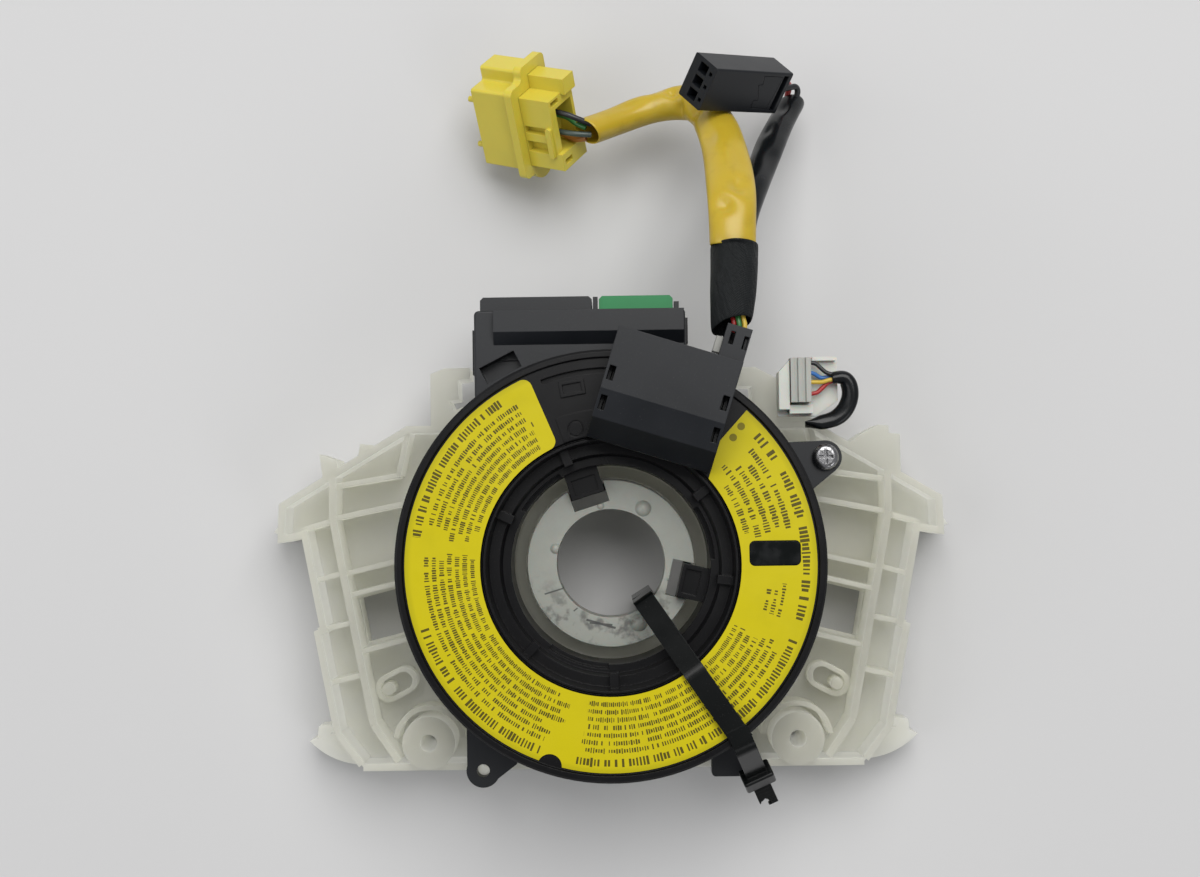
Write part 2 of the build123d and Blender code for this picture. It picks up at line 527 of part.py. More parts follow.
def build_socket_pins():
    """Square pins in two rows standing down from the roofs of both sockets."""
    pins = []
    roof = SOCKET_TOP_Z - SOCKET_ROOF
    for span in (BLACK_SOCKET_X, GREEN_SOCKET_X):
        count = int((span[1] - span[0] - 2 * SOCKET_WALL) / PIN_PITCH_X)
        middle = (span[0] + span[1]) / 2
        for column in range(count):
            x = middle + (column - (count - 1) / 2) * PIN_PITCH_X
            for row in (-0.5, 0.5):
                y = (SOCKET_FRONT_Y + SOCKET_REAR_Y) / 2 + row * PIN_PITCH_Y
                pin = Box(SOCKET_PIN, SOCKET_PIN, SOCKET_PIN_LENGTH)
                pins.append(Pos(x, y, roof - SOCKET_PIN_LENGTH / 2) * pin)
    return Compound(children=pins)


def build_terminal_block():
    """Insulator in the box where the ribbon's outer end is welded to the socket pins' bars."""
    top = BOX_TOP_Z - BOX_ROOF
    return block(
        (BOX_LEFT_X + 4, STATOR_OUTER_R + FIT_GAP, 29),
        (BOX_RIGHT_X - 4, SOCKET_FRONT_Y - FIT_GAP, top),
    )


def build_ear_screw():
    """Pan-head screw with a cross recess that holds the stator's ear to the bracket."""
    ear_top = STATOR_FLOOR_Z + EAR_THICK
    head = post(SCREW_EAR_AT, 3.4, ear_top, ear_top + 2.5)
    head = fillet(head.edges().group_by(Axis.Z)[-1], 1.5)
    recess = Pos(*SCREW_EAR_AT, ear_top + 2.5) * (Box(3.6, 0.8, 2.4) + Box(0.8, 3.6, 2.4))
    shank = post(SCREW_EAR_AT, EAR_HOLE_R - FIT_GAP / 2, 14, ear_top)
    return head - recess + shank


# ---------------------------------------------------------------- ribbon
def build_ribbon():
    """Flat cable wound in a spiral of half circles, as wide as the chamber is high."""
    edges = []
    radius = RIBBON_INNER_R
    start = radius
    for turn in range(RIBBON_HALF_TURNS):
        sign = 1 if turn % 2 == 0 else -1
        stop = -sign * (radius + RIBBON_PITCH / 2)
        middle = (start + stop) / 2
        reach = abs(start - stop) / 2
        edges.append(ThreePointArc((start, 0), (middle, sign * reach), (stop, 0)).edge())
        start = stop
        radius = radius + RIBBON_PITCH / 2
    path = Wire(edges)
    section = Plane(origin=path @ 0, z_dir=path % 0) * Rectangle(RIBBON_THICK, RIBBON_WIDTH)
    low = STATOR_FLOOR_Z + STATOR_FLOOR_THICK + LIFT_GAP / 2
    return Pos(0, 0, low + RIBBON_WIDTH / 2) * sweep(section, path=path)


# ---------------------------------------------------------------- rotor
def block_base():
    """Floor, tub and latch lugs that carry the connector block's cover."""
    outline = [(0.0, 0.0), (BLOCK_WIDTH, 0.0), (BLOCK_WIDTH, -BLOCK_DEPTH), (0.0, -BLOCK_DEPTH)]
    floor = slab(outline, SEAT_Z, BLOCK_FLOOR_TOP_Z)
    inset = BLOCK_WALL + FIT_GAP
    tub = block((inset, -BLOCK_FLAT - 6, SEAT_Z), (BLOCK_WIDTH - inset, -inset, BLOCK_FLOOR_TOP_Z + 5))
    tub = tub - block(
        (inset + 1.4, -BLOCK_FLAT - 4.6, BLOCK_FLOOR_TOP_Z),
        (BLOCK_WIDTH - inset - 1.4, 0, BLOCK_FLOOR_TOP_Z + 6),
    )
    neck = block((NECK_X, 0, SEAT_Z + 0.9), (BLOCK_WIDTH, NECK_LENGTH - 1, BLOCK_FLOOR_TOP_Z))
    return BLOCK_PLANE * (floor + tub + neck)


def hook(azimuth):
    """Tongue and snap leg that hold the cancel cam."""
    half = HOOK_WIDTH / 2
    under_cam = CAM_TOP_Z - CAM_THICK - FIT_GAP
    tongue = block((HOOK_INNER_R, -half, HOOK_TOP_Z - 2.4), (HUB_THROAT_R + 0.6, half, HOOK_TOP_Z))
    leg = block((HOOK_INNER_R, -half, HOOK_FOOT_Z), (HOOK_INNER_R + HOOK_LEG_THICK, half, HOOK_TOP_Z))
    barb = block(
        (HOOK_INNER_R, -half - HOOK_BARB, HOOK_FOOT_Z),
        (HOOK_INNER_R + HOOK_LEG_THICK, half + HOOK_BARB, under_cam),
    )
    relief = block(
        (HOOK_INNER_R + 0.9, -half + 1.2, HOOK_TOP_Z - 0.9),
        (HUB_THROAT_R - 2.2, half - 1.2, HOOK_TOP_Z + 1),
    )
    return Rot(0, 0, azimuth) * (tongue + leg + barb - relief)


def build_rotor():
    """Turning disc with its rim, hub, ribbon sleeve, snap lip, cam hooks and the connector block's base."""
    rim_top = SEAT_Z + RIM_LIP
    under = SEAT_Z - DISC_THICK
    throat = HUB_THROAT_R + THROAT_WALL
    lip_low = SNAP_LIP_TOP_Z - 1.2
    body = turned([
        (RIM_R - RIM_WALL, RIM_BOTTOM_Z), (RIM_R, RIM_BOTTOM_Z), (RIM_R, rim_top - RIM_CHAMFER),
        (RIM_R - RIM_CHAMFER, rim_top), (RIM_LIP_R + 0.3, rim_top), (RIM_LIP_R, SEAT_Z),
        (LABEL_INNER_R, SEAT_Z), (LABEL_INNER_R - 0.3, SEAT_Z - 0.9), (HUB_WALL_R + 0.9, SEAT_Z - 0.9),
        (HUB_WALL_R + 0.7, SEAT_Z - 0.3), (HUB_WALL_R + 0.1, SEAT_Z - 0.3), (HUB_WALL_R - 0.4, HUB_LEDGE_Z),
        (throat + 0.6, HUB_LEDGE_Z), (throat, THROAT_TOP_Z), (HUB_THROAT_R, THROAT_TOP_Z),
        (HUB_THROAT_R, lip_low), (throat, lip_low), (throat + SNAP_LIP, SNAP_LIP_TOP_Z - 0.4),
        (throat + SNAP_LIP, SNAP_LIP_TOP_Z), (throat, SNAP_LIP_TOP_Z), (throat, THROAT_TOP_Z - 2.4),
        (SLEEVE_R - SLEEVE_WALL, HUB_LEDGE_Z - HUB_LEDGE_THICK), (SLEEVE_R - SLEEVE_WALL, 29.4), (SLEEVE_R, 29.4),
        (SLEEVE_R, under), (RIM_R - RIM_WALL, under),
    ])
    for azimuth in HUB_RIB_AZIMUTHS:
        rib = block((throat - 0.4, -1.1, HUB_LEDGE_Z - 2.0), (HUB_WALL_R + 0.4, 1.1, HUB_LEDGE_Z + 2.6))
        body = body + Rot(0, 0, azimuth) * rib
    for start, stop in THROAT_SLOTS:
        body = body - sector(throat - 0.9, HUB_THROAT_R - 1, start, stop, THROAT_TOP_Z - 4, THROAT_TOP_Z + 1)
    for azimuth in HOOK_AZIMUTHS:
        body = body + hook(azimuth)
    body = body - sector(BARE_GROOVE_R[1], BARE_GROOVE_R[0], *BARE_GROOVE_AZIMUTHS, SEAT_Z - 1.3, SEAT_Z + 1)
    step_top = SEAT_Z + BARE_STEP_RISE
    body = body + sector(BARE_STEP_R, LABEL_INNER_R + 0.1, *BARE_STEP_AZIMUTHS, SEAT_Z - 0.5, step_top)
    mark = post(EJECTOR_MARK_AT, EJECTOR_MARK_R, step_top - 0.2, step_top + 1)
    body = body - (mark - post(EJECTOR_MARK_AT, EJECTOR_MARK_R - 0.3, step_top - 1, step_top + 2))
    frame = Rectangle(6.2, 3.8) - Rectangle(4.6, 2.2)
    body = body + Pos(*BARE_FRAME_AT, SEAT_Z - 0.1) * Rot(0, 0, 10) * extrude(frame, 0.7)
    return body + block_base()


def label_area():
    """Plan of the label between its two ends, clear of the connector block."""
    body = sector(LABEL_OUTER_R, LABEL_INNER_R, BARE_END, LABEL_END, SEAT_Z, SEAT_Z + LABEL_THICK)
    clear = BLOCK_PLANE * block((-30, -60, SEAT_Z - 1), (BLOCK_WIDTH + 0.5, 20, SEAT_Z + 1))
    return body - (clear & block((0, 0, 0), (80, 80, 80)))


def window_blank(grow, low, high):
    """Round-cornered blank for the neutral window."""
    shape = RectangleRounded(NEUTRAL_WINDOW_SIZE[0] + grow, NEUTRAL_WINDOW_SIZE[1] + grow, 1.2 + grow / 2)
    return Pos(*NEUTRAL_WINDOW_AT, low) * extrude(shape, high - low)


def build_label():
    """Thin sticker on the rotor, with a hole for the window and a half-round notch."""
    body = label_area() - window_blank(0.4, SEAT_Z - 1, SEAT_Z + 1)
    body = body - post(LABEL_NOTCH_AT, LABEL_NOTCH_R, SEAT_Z - 1, SEAT_Z + 1)
    far_corners = body.edges().filter_by(Axis.Z).sort_by(lambda edge: edge.center().X - edge.center().Y)
    end_corners = [e for e in far_corners if e.center().X < -10 and e.center().Y > 20]
    return fillet(end_corners, LABEL_CORNER_R)


def build_cam():
    """White cancel cam: flange with two hook windows, neck and two lobes under it."""
    low = CAM_TOP_Z - CAM_THICK
    foot = low - CAM_NECK_LENGTH
    body = post((0, 0), CAM_R, low, CAM_TOP_Z) + post((0, 0), CAM_NECK_R, foot, low)
    for azimuth in (40, 215):
        body = body + sector(CAM_LOBE_R, CAM_NECK_R - 1, azimuth, azimuth + 34, foot, low)
    for (x, y), radius in CAM_DOMES:
        dome = Pos(x, y, CAM_TOP_Z - radius * 0.55) * Sphere(radius * 1.15)
        body = body + (dome & post((x, y), radius * 2, CAM_TOP_Z - 1, CAM_TOP_Z + 3))
    body = body - post((0, 0), CAM_BORE_R, foot - 1, CAM_TOP_Z + 4)
    for azimuth in HOOK_AZIMUTHS:
        half = HOOK_WIDTH / 2 + HOOK_GAP
        window = block((CAM_WINDOW_INNER_R, -half, foot - 1), (CAM_R + 1, half, CAM_TOP_Z + 1))
        body = body - Rot(0, 0, azimuth) * window
    return body


def build_block_cover():
    """Lid over the connector block, with a sloped front, latch slots and the cable neck."""
    def lid(inset, low, top):
        profile = Polyline(
            (-inset, low), (-inset, top), (-BLOCK_FLAT, top), (-BLOCK_KNEE + inset * 0.6, top - 1.4),
            (-BLOCK_DEPTH + inset, BLOCK_FLOOR_TOP_Z + 2.6), (-BLOCK_DEPTH + inset, low), close=True)
        face = make_face(Plane.YZ * profile)
        return Pos(inset, 0, 0) * extrude(face, BLOCK_WIDTH - 2 * inset, dir=(1, 0, 0))

    body = lid(0, BLOCK_FLOOR_TOP_Z, BLOCK_TOP_Z)
    body = body - lid(BLOCK_WALL, BLOCK_FLOOR_TOP_Z - 1, BLOCK_TOP_Z - BLOCK_WALL)
    neck = block((NECK_X, -BLOCK_WALL, BLOCK_FLOOR_TOP_Z), (BLOCK_WIDTH, NECK_LENGTH, NECK_TOP_Z))
    bore = block((NECK_X + 1, -4, NECK_FLOOR_Z + 0.8), (BLOCK_WIDTH - 1, NECK_LENGTH + 1, NECK_TOP_Z - 1))
    body = body + neck - bore
    width, length = LATCH_SLOT
    for x, y in LATCH_SLOTS:
        body = body - block((x, y - length / 2, BLOCK_TOP_Z - 5), (x + width, y + length / 2, BLOCK_TOP_Z + 1))
    width, length = NECK_SLOT
    for x, y in NECK_SLOTS:
        body = body - block((x, y - length / 2, NECK_TOP_Z - 2), (x + width, y + length / 2, NECK_TOP_Z + 1))
    return BLOCK_PLANE * body


def build_joint_block():
    """Insulator in the tub where the ribbon's inner end is welded to the pigtails' wires."""
    low = BLOCK_FLOOR_TOP_Z
    inset = BLOCK_WALL + 2
    body = block((inset, -BLOCK_FLAT - 4, low), (BLOCK_WIDTH - inset, -6, low + 4.5))
    for column in range(6):
        x = inset + 2 + column * 3.7
        body = body - block((x, -BLOCK_FLAT - 1, low + 3), (x + 1.8, -5, low + 5))
    return BLOCK_PLANE * body


def build_neck_clip():
    """Small pale wire retainer on the side of the neck."""
    return BLOCK_PLANE * block((NECK_X - 1.6, 0.9, 54), (NECK_X, 4.8, 58.5))


# ---------------------------------------------------------------- pigtails
def tape_section(centre, half_width, half_height):
    """Oval section of the tape, square to the sleeves."""
    return Plane(origin=centre, x_dir=(1, 0, 0), z_dir=(0, 1, 0)) * Ellipse(half_width, half_height)


def build_tape_wrap():
    """Bound fabric tape over both sleeves, with its open mouth round the end of the neck."""
    mouth = NECK_MOUTH + Vector(-2.0, -1.7, -0.6)
    middle = (30.8, (mouth.Y + TAPE_END_Y) / 2, 55.2)
    end = (31.3, TAPE_END_Y, 50.9)
    body = loft([tape_section(mouth, 5.1, 4.5), tape_section(middle, 5.9, 5.6), tape_section(end, 5.9, 8.8)])
    hollow_end = mouth + Vector(0.2, TAPE_MOUTH_DEPTH + 1.7, 0)
    hollow_sections = [
        tape_section(mouth - Vector(0, 1, 0), 5.1 - TAPE_WALL, 4.5 - TAPE_WALL),
        tape_section(hollow_end, 5.4 - TAPE_WALL, 4.7 - TAPE_WALL),
    ]
    neck_way = BLOCK_PLANE * block((NECK_X - 1.9, -2, 40), (BLOCK_WIDTH + 6, NECK_LENGTH + FIT_GAP * 3, 70))
    return body - loft(hollow_sections) - neck_way


def neck_wire(offset_x, offset_z):
    """Wire from inside the neck to the bottom of the tape's mouth."""
    middle = NECK_X + NECK_WIDTH / 2
    inside = Vector(middle + offset_x, NECK_LENGTH - 1, NECK_MOUTH.Z + offset_z)
    inside = BLOCK_PLANE.from_local_coords(inside)
    stop = NECK_MOUTH + Vector(offset_x - 0.5, TAPE_MOUTH_DEPTH + WIRE_GRIP, offset_z)
    return rod(inside, stop, WIRE_R)


def shell_outline(grow):
    """Section of the airbag connector: a wide body with a narrower key at its top end."""
    g = grow
    points = [
        (-g, -g), (SHELL_WIDTH + g, -g), (SHELL_WIDTH + g, SHELL_DEPTH + g), (-SHELL_KEY - g, SHELL_DEPTH + g),
        (-SHELL_KEY - g, SHELL_KEY_DEPTH - g), (-g, SHELL_KEY_DEPTH - g),
    ]
    return points


def along_plug(points, low, high):
    """Prism of the connector's section between two stations of its length."""
    return extrude(make_face(Plane.YZ.offset(low) * Polyline(*points, close=True)), high - low, dir=(1, 0, 0))


def build_airbag_shell():
    """Outer shell of the airbag connector with its flange, pegs and open mating mouth."""
    body = along_plug(shell_outline(0), 0, SHELL_LENGTH)
    body = fillet(body.edges().filter_by(Axis.X), 0.7)
    flange = along_plug(shell_outline(SHELL_FLANGE), SHELL_LENGTH - SHELL_FLANGE_THICK, SHELL_LENGTH)
    flange = fillet(flange.edges().filter_by(Axis.X), 1.6)
    bump = Plane.YZ.offset(SHELL_LENGTH - SHELL_FLANGE_THICK) * Pos(SHELL_WIDTH, SHELL_DEPTH / 2) * Circle(4.8)
    body = body + flange + extrude(bump, SHELL_FLANGE_THICK)
    body = body - along_plug(shell_outline(-SHELL_WALL), -1, INSERT_START - 1.3)
    body = body - along_plug(shell_outline(-SHELL_WALL), INSERT_START - FIT_GAP, SHELL_LENGTH + 1)
    for y in (4.0, SHELL_WIDTH - 5.0):
        peg = Plane.YZ.offset(-2.4) * Pos(y, 1.8) * Circle(0.8)
        body = body + extrude(peg, INSERT_START - 1.3 + 2.4)
    return AIRBAG_PLANE * body


def build_airbag_insert():
    """Contact carrier of the airbag connector, with its wire mouth, side slots and end blocks."""
    inset = SHELL_WALL + FIT_GAP
    far = SHELL_DEPTH - inset
    low = SHELL_WIDTH - inset
    body = along_plug(shell_outline(-inset), INSERT_START, INSERT_END - 1.4)
    body = body + block((SHELL_LENGTH, low - 4.8, inset), (INSERT_END, low, far))
    body = body + block((SHELL_LENGTH, inset - SHELL_KEY, SHELL_KEY_DEPTH + inset), (INSERT_END, 1.8, far))
    for y, width in ((9.2, 2.1), (13.6, 3.1)):
        body = body - block((SHELL_LENGTH + 0.3, y, 0), (INSERT_END - 2.6, y + width, inset + 2.0))
    latch = block((INSERT_END - 3.6, 8.8, inset - 0.9), (INSERT_END - 2.0, 17.6, inset + 1.4))
    body = body + fillet(latch.edges().filter_by(Axis.Z), 0.6)
    body = body - block(
        (INSERT_END - WIRE_POCKET_DEPTH, 4.4, inset + 2.4), (INSERT_END + 1, low - 4.8, far - 1.1))
    body = body - block((INSERT_END - 3.0, 1.9, inset + 0.7), (INSERT_END + 1, 3.2, 5.4))
    body = body - block((INSERT_END - 1.6, low - 2.9, inset + 1.0), (INSERT_END + 1, low - 1.5, 5.4))
    return AIRBAG_PLANE * body


def sleeve_end(route):
    """End of a sleeve and the way it points there."""
    last = Vector(*route[-1])
    return last, (last - Vector(*route[-2])).normalized()


def airbag_wire(colour):
    """Wire from the airbag connector's mouth into its sleeve, fanned out across the mouth."""
    y, z = AIRBAG_WIRES_AT[colour]
    start = AIRBAG_PLANE.from_local_coords(Vector(INSERT_END - WIRE_POCKET_DEPTH + 0.9, y, z))
    end, heading = sleeve_end(YELLOW_ROUTE)
    across = AIRBAG_PLANE.y_dir * (y - 10.5) * 0.5 + AIRBAG_PLANE.x_dir * (7.2 - z) * 0.55
    across = across - heading * across.dot(heading)
    return rod(start, end + across - heading * WIRE_GRIP, WIRE_R)


def switch_wire(colour):
    """Wire from the slim connector's mouth, bent back into its sleeve."""
    y, z = SWITCH_WIRES_AT[colour]
    length = SWITCH_PLUG_SIZE[0]
    start = SWITCH_PLANE.from_local_coords(Vector(length - 5, y, z))
    out = SWITCH_PLANE.from_local_coords(Vector(length + 2.4, y, z))
    end, heading = sleeve_end(BLACK_ROUTE)
    aside = Vector(1.2, -0.2, 0.6) if colour == "black" else Vector(-1.2, 0.2, -0.6)
    bend = Vector(*SWITCH_WIRE_BEND) + aside
    path = FilletPolyline(start, out, bend, end + aside - heading * WIRE_GRIP, radius=1.6)
    section = Plane(origin=path @ 0, z_dir=path % 0) * Circle(WIRE_R)
    return sweep(section, path=path)


def build_switch_connector():
    """Slim connector with three contact slots, a wire end and a pocket for its retainer."""
    length, width, depth = SWITCH_PLUG_SIZE
    body = block((0, 0, 0), (length, width, depth))
    body = fillet(body.edges().filter_by(Axis.X), 0.5)
    for column in range(3):
        y = 1.1 + column * 3.6
        body = body - block((-1, y, 2.8), (7, y + 2.6, 6.0))
        body = body - block((-1, y + 0.8, 0.9), (5, y + 1.8, 2.0))
    body = body - block((length - 6, 1.6, 2.8), (length + 1, width - 1.6, depth - 1.6))
    pocket = slab(RETAINER_EDGE, -1, RETAINER_DEPTH)
    body = body - pocket
    body = body - block((length - 3.0, 0.8, -1), (length - 1.2, width - 1.0, 1.6))
    return SWITCH_PLANE * body


def build_switch_retainer():
    """Plate with a stepped edge that locks the contacts in the slim connector."""
    face = offset(Polygon(*RETAINER_EDGE, align=None), -FIT_GAP, kind=Kind.INTERSECTION)
    return SWITCH_PLANE * extrude(face, RETAINER_DEPTH, dir=(0, 0, 1))


# ---------------------------------------------------------------- sensor lead
def build_sensor_socket():
    """Clear holder on the bracket's upper right post, with guide rails for the plug."""
    base = slab(SENSOR_BASE, SENSOR_BASE_Z, SENSOR_BASE_Z + SENSOR_BASE_THICK)
    low = SENSOR_BASE_Z + SENSOR_BASE_THICK
    rear = slab([(43.6, 38.6), (43.6, 48.2), (46.4, 51.2), (46.4, 38.6)], low, low + SENSOR_REAR_RISE)
    rail = block((46.4, 37.6, low), (52.4, 39.8, low + SENSOR_RAIL_RISE))
    fence = block((52.6, 51.2, low), (58.6, 52.2, low + SENSOR_FENCE_RISE))
    return base + rear + rail + fence


def build_sensor_plug():
    """Four-way plug in the holder, ribbed across its back."""
    low = SENSOR_BASE_Z + SENSOR_BASE_THICK
    left, right = SENSOR_PLUG_X
    front, rear = SENSOR_PLUG_Y
    body = block((left, front, low), (right, rear, SENSOR_PLUG_TOP_Z))
    for x in (left + 1.0, left + 3.0):
        groove = block((x, front - 1, SENSOR_PLUG_TOP_Z - 0.7), (x + 0.9, rear + 1, SENSOR_PLUG_TOP_Z + 1))
        body = body - groove
    for y in SENSOR_WIRE_FROM_Y.values():
        body = body - Plane(origin=(right - 2, y, SENSOR_WIRE_Z), z_dir=(1, 0, 0)) * extrude(Circle(0.9), 4)
    return body


def sensor_wire(colour):
    """One wire from the plug to the start of the sensor lead's sleeve."""
    y = SENSOR_WIRE_FROM_Y[colour]
    side, rise = SENSOR_WIRE_TO[colour]
    end, heading = sleeve_end(SENSOR_SLEEVE_ROUTE[1::-1])
    stop = end + Vector(0, side, rise) - heading * WIRE_GRIP
    inside = (SENSOR_PLUG_X[1] - 1.9, y, SENSOR_WIRE_Z)
    outside = (SENSOR_PLUG_X[1] + 1.6, y, SENSOR_WIRE_Z)
    path = FilletPolyline(inside, outside, stop, radius=1.0)
    section = Plane(origin=path @ 0, z_dir=path % 0) * Circle(SENSOR_WIRE_R)
    return sweep(section, path=path)


# ---------------------------------------------------------------- strap
def strap_run(plane, points, radii):
    """Length of strap along straight runs with rounded bends, in one upright plane."""
    path = FilletPolyline(*points, radius=radii)
    section = Plane(origin=path @ 0, x_dir=(0, 0, 1), z_dir=path % 0) * Rectangle(STRAP_WIDTH, STRAP_THICK)
    return plane * sweep(section, path=path)


def build_strap():
    """Nylon strap that ties the rotor to the bracket: over the rim, down the bore and back under the plate."""
    over = SEAT_Z + RIM_LIP + STRAP_GAP + STRAP_THICK / 2
    on_label = SEAT_Z + LABEL_THICK + STRAP_GAP + STRAP_THICK / 2
    bore_top = 42.5
    splice = 25.0
    top_points = [(STRAP_RIM_REACH + 1.5, over), (39.0, over), (21.2, on_label), (0.0, bore_top), (0.0, splice)]
    top = strap_run(STRAP_PLANE, top_points, [6.0, 6.0, 2.0])
    under_points = [
        (0.0, splice + 1), (0.0, STRAP_LOW_Z), (STRAP_UNDER_REACH, STRAP_LOW_Z),
        (STRAP_UNDER_REACH, STRAP_HEAD_AT[1] - 1),
    ]
    under = strap_run(UNDER_PLANE, under_points, [2.4, 2.4])
    edge = (3.4, over)
    drop = strap_run(DROP_PLANE, [(-2.0, over), edge, STRAP_HEAD_AT], [3.0])
    steep = math.degrees(math.atan2(STRAP_HEAD_AT[1] - over, STRAP_HEAD_AT[0] - edge[0]))
    head = fillet(Box(*STRAP_HEAD_SIZE).edges(), 0.6)
    head = DROP_PLANE * Pos(*STRAP_HEAD_AT, 0) * Rot(0, 0, steep) * head
    return top + under + drop + head + DROP_PLANE * strap_tail()


def strap_tail():
    """Ridged tail past the head, cut off aslant."""
    run = math.dist(STRAP_HEAD_AT, STRAP_TAIL_END)
    run_x = STRAP_TAIL_END[0] - STRAP_HEAD_AT[0]
    run_z = STRAP_TAIL_END[1] - STRAP_HEAD_AT[1]
    rise = math.degrees(math.atan2(run_z, run_x))
    tail = Box(run, STRAP_THICK, STRAP_TAIL_WIDTH, align=(Align.MIN, Align.CENTER, Align.CENTER))
    for tooth in range(5):
        at = run - 0.9 - tooth * STRAP_TAIL_PITCH
        tail = tail - Pos(at, STRAP_THICK / 2, 0) * Box(0.4, 0.5, STRAP_TAIL_WIDTH + 1)
    tail = tail - Pos(run, 0, STRAP_TAIL_WIDTH / 2) * Rot(0, -55, 0) * Box(6, 3, 2.4)
    return Pos(*STRAP_HEAD_AT, 0) * Rot(0, 0, rise) * tail


def main():
    """Build each piece and write its file."""
    os.makedirs("parts", exist_ok=True)
    pieces = {
        "column_bracket": build_bracket(),
        "stator_case": build_stator(),
        "stator_back_cover": build_back_cover(),
        "black_socket": build_socket(BLACK_SOCKET_X, (-24.0, -12.0)),
        "green_socket": build_socket(GREEN_SOCKET_X, (7.0,)),
        "socket_pins": build_socket_pins(),
        "terminal_block": build_terminal_block(),
        "ear_screw": build_ear_screw(),
        "ribbon_cable": build_ribbon(),
        "rotor": build_rotor(),
        "rotor_label": build_label(),
        "neutral_window": window_blank(0, SEAT_Z, SEAT_Z + LABEL_THICK + 0.15),
        "cancel_cam": build_cam(),
        "block_cover": build_block_cover(),
        "joint_block": build_joint_block(),
        "neck_clip": build_neck_clip(),
        "neck_wire_red": neck_wire(-1.0, 0.8),
        "neck_wire_green": neck_wire(0.2, -1.2),
        "neck_wire_yellow": neck_wire(1.0, 1.0),
        "tape_wrap": build_tape_wrap(),
        "airbag_sleeve": tube(YELLOW_ROUTE, YELLOW_SLEEVE_R),
        "switch_sleeve": tube(BLACK_ROUTE, BLACK_SLEEVE_R),
        "airbag_connector_shell": build_airbag_shell(),
        "airbag_connector_insert": build_airbag_insert(),
        "switch_connector": build_switch_connector(),
        "switch_connector_retainer": build_switch_retainer(),
        "sensor_socket": build_sensor_socket(),
        "sensor_plug": build_sensor_plug(),
        "sensor_sleeve": tube(SENSOR_SLEEVE_ROUTE, SENSOR_SLEEVE_R),
        "transport_strap": build_strap(),
    }
    for colour in AIRBAG_WIRES_AT:
        pieces["airbag_wire_" + colour] = airbag_wire(colour)
    for colour in SWITCH_WIRES_AT:
        pieces["switch_wire_" + colour] = switch_wire(colour)
    for colour in SENSOR_WIRE_FROM_Y:
        pieces["sensor_wire_" + colour] = sensor_wire(colour)
    for name, shape in pieces.items():
        export_step(shape, "parts/" + name + ".step")


main()
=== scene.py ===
import math

import bmesh
import bpy
from mathutils import Matrix, Vector


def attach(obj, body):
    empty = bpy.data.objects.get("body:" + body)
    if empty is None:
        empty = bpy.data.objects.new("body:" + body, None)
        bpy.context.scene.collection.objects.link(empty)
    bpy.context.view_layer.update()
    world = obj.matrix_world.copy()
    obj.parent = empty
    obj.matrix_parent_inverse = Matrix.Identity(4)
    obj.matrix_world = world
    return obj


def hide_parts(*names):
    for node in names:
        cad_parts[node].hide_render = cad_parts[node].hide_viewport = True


# Dresses the steering clock spring: a finish for every piece, and finer shapes for the sleeves, the wires
# and the cloth tape. Metres, row frame; tables and routes are in millimetres.

MM = 0.001
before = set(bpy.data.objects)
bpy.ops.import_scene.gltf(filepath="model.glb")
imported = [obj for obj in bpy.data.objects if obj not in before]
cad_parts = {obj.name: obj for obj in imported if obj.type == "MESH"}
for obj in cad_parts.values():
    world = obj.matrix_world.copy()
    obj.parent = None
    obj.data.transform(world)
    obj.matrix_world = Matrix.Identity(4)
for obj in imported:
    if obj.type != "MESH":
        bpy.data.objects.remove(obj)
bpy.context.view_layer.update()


# ------------------------------------------------------------------ paint mixing
class Socket:
    """An output socket that can be used in sums."""

    def __init__(self, paint, socket):
        self.paint = paint
        self.socket = socket

    def math(self, operation, *terms):
        return self.paint.math_of(operation, *terms)

    def __add__(self, other):
        return self.math("ADD", self, other)

    def __sub__(self, other):
        return self.math("SUBTRACT", self, other)

    def __rsub__(self, other):
        return self.math("SUBTRACT", other, self)

    def __mul__(self, other):
        return self.math("MULTIPLY", self, other)

    def __truediv__(self, other):
        return self.math("DIVIDE", self, other)

    def __gt__(self, other):
        return self.math("GREATER_THAN", self, other)

    def __lt__(self, other):
        return self.math("LESS_THAN", self, other)

    def __mod__(self, other):
        return self.math("FLOORED_MODULO", self, other)

    def __abs__(self):
        return self.math("ABSOLUTE", self)

    def either(self, other):
        return self.math("MAXIMUM", self, other)


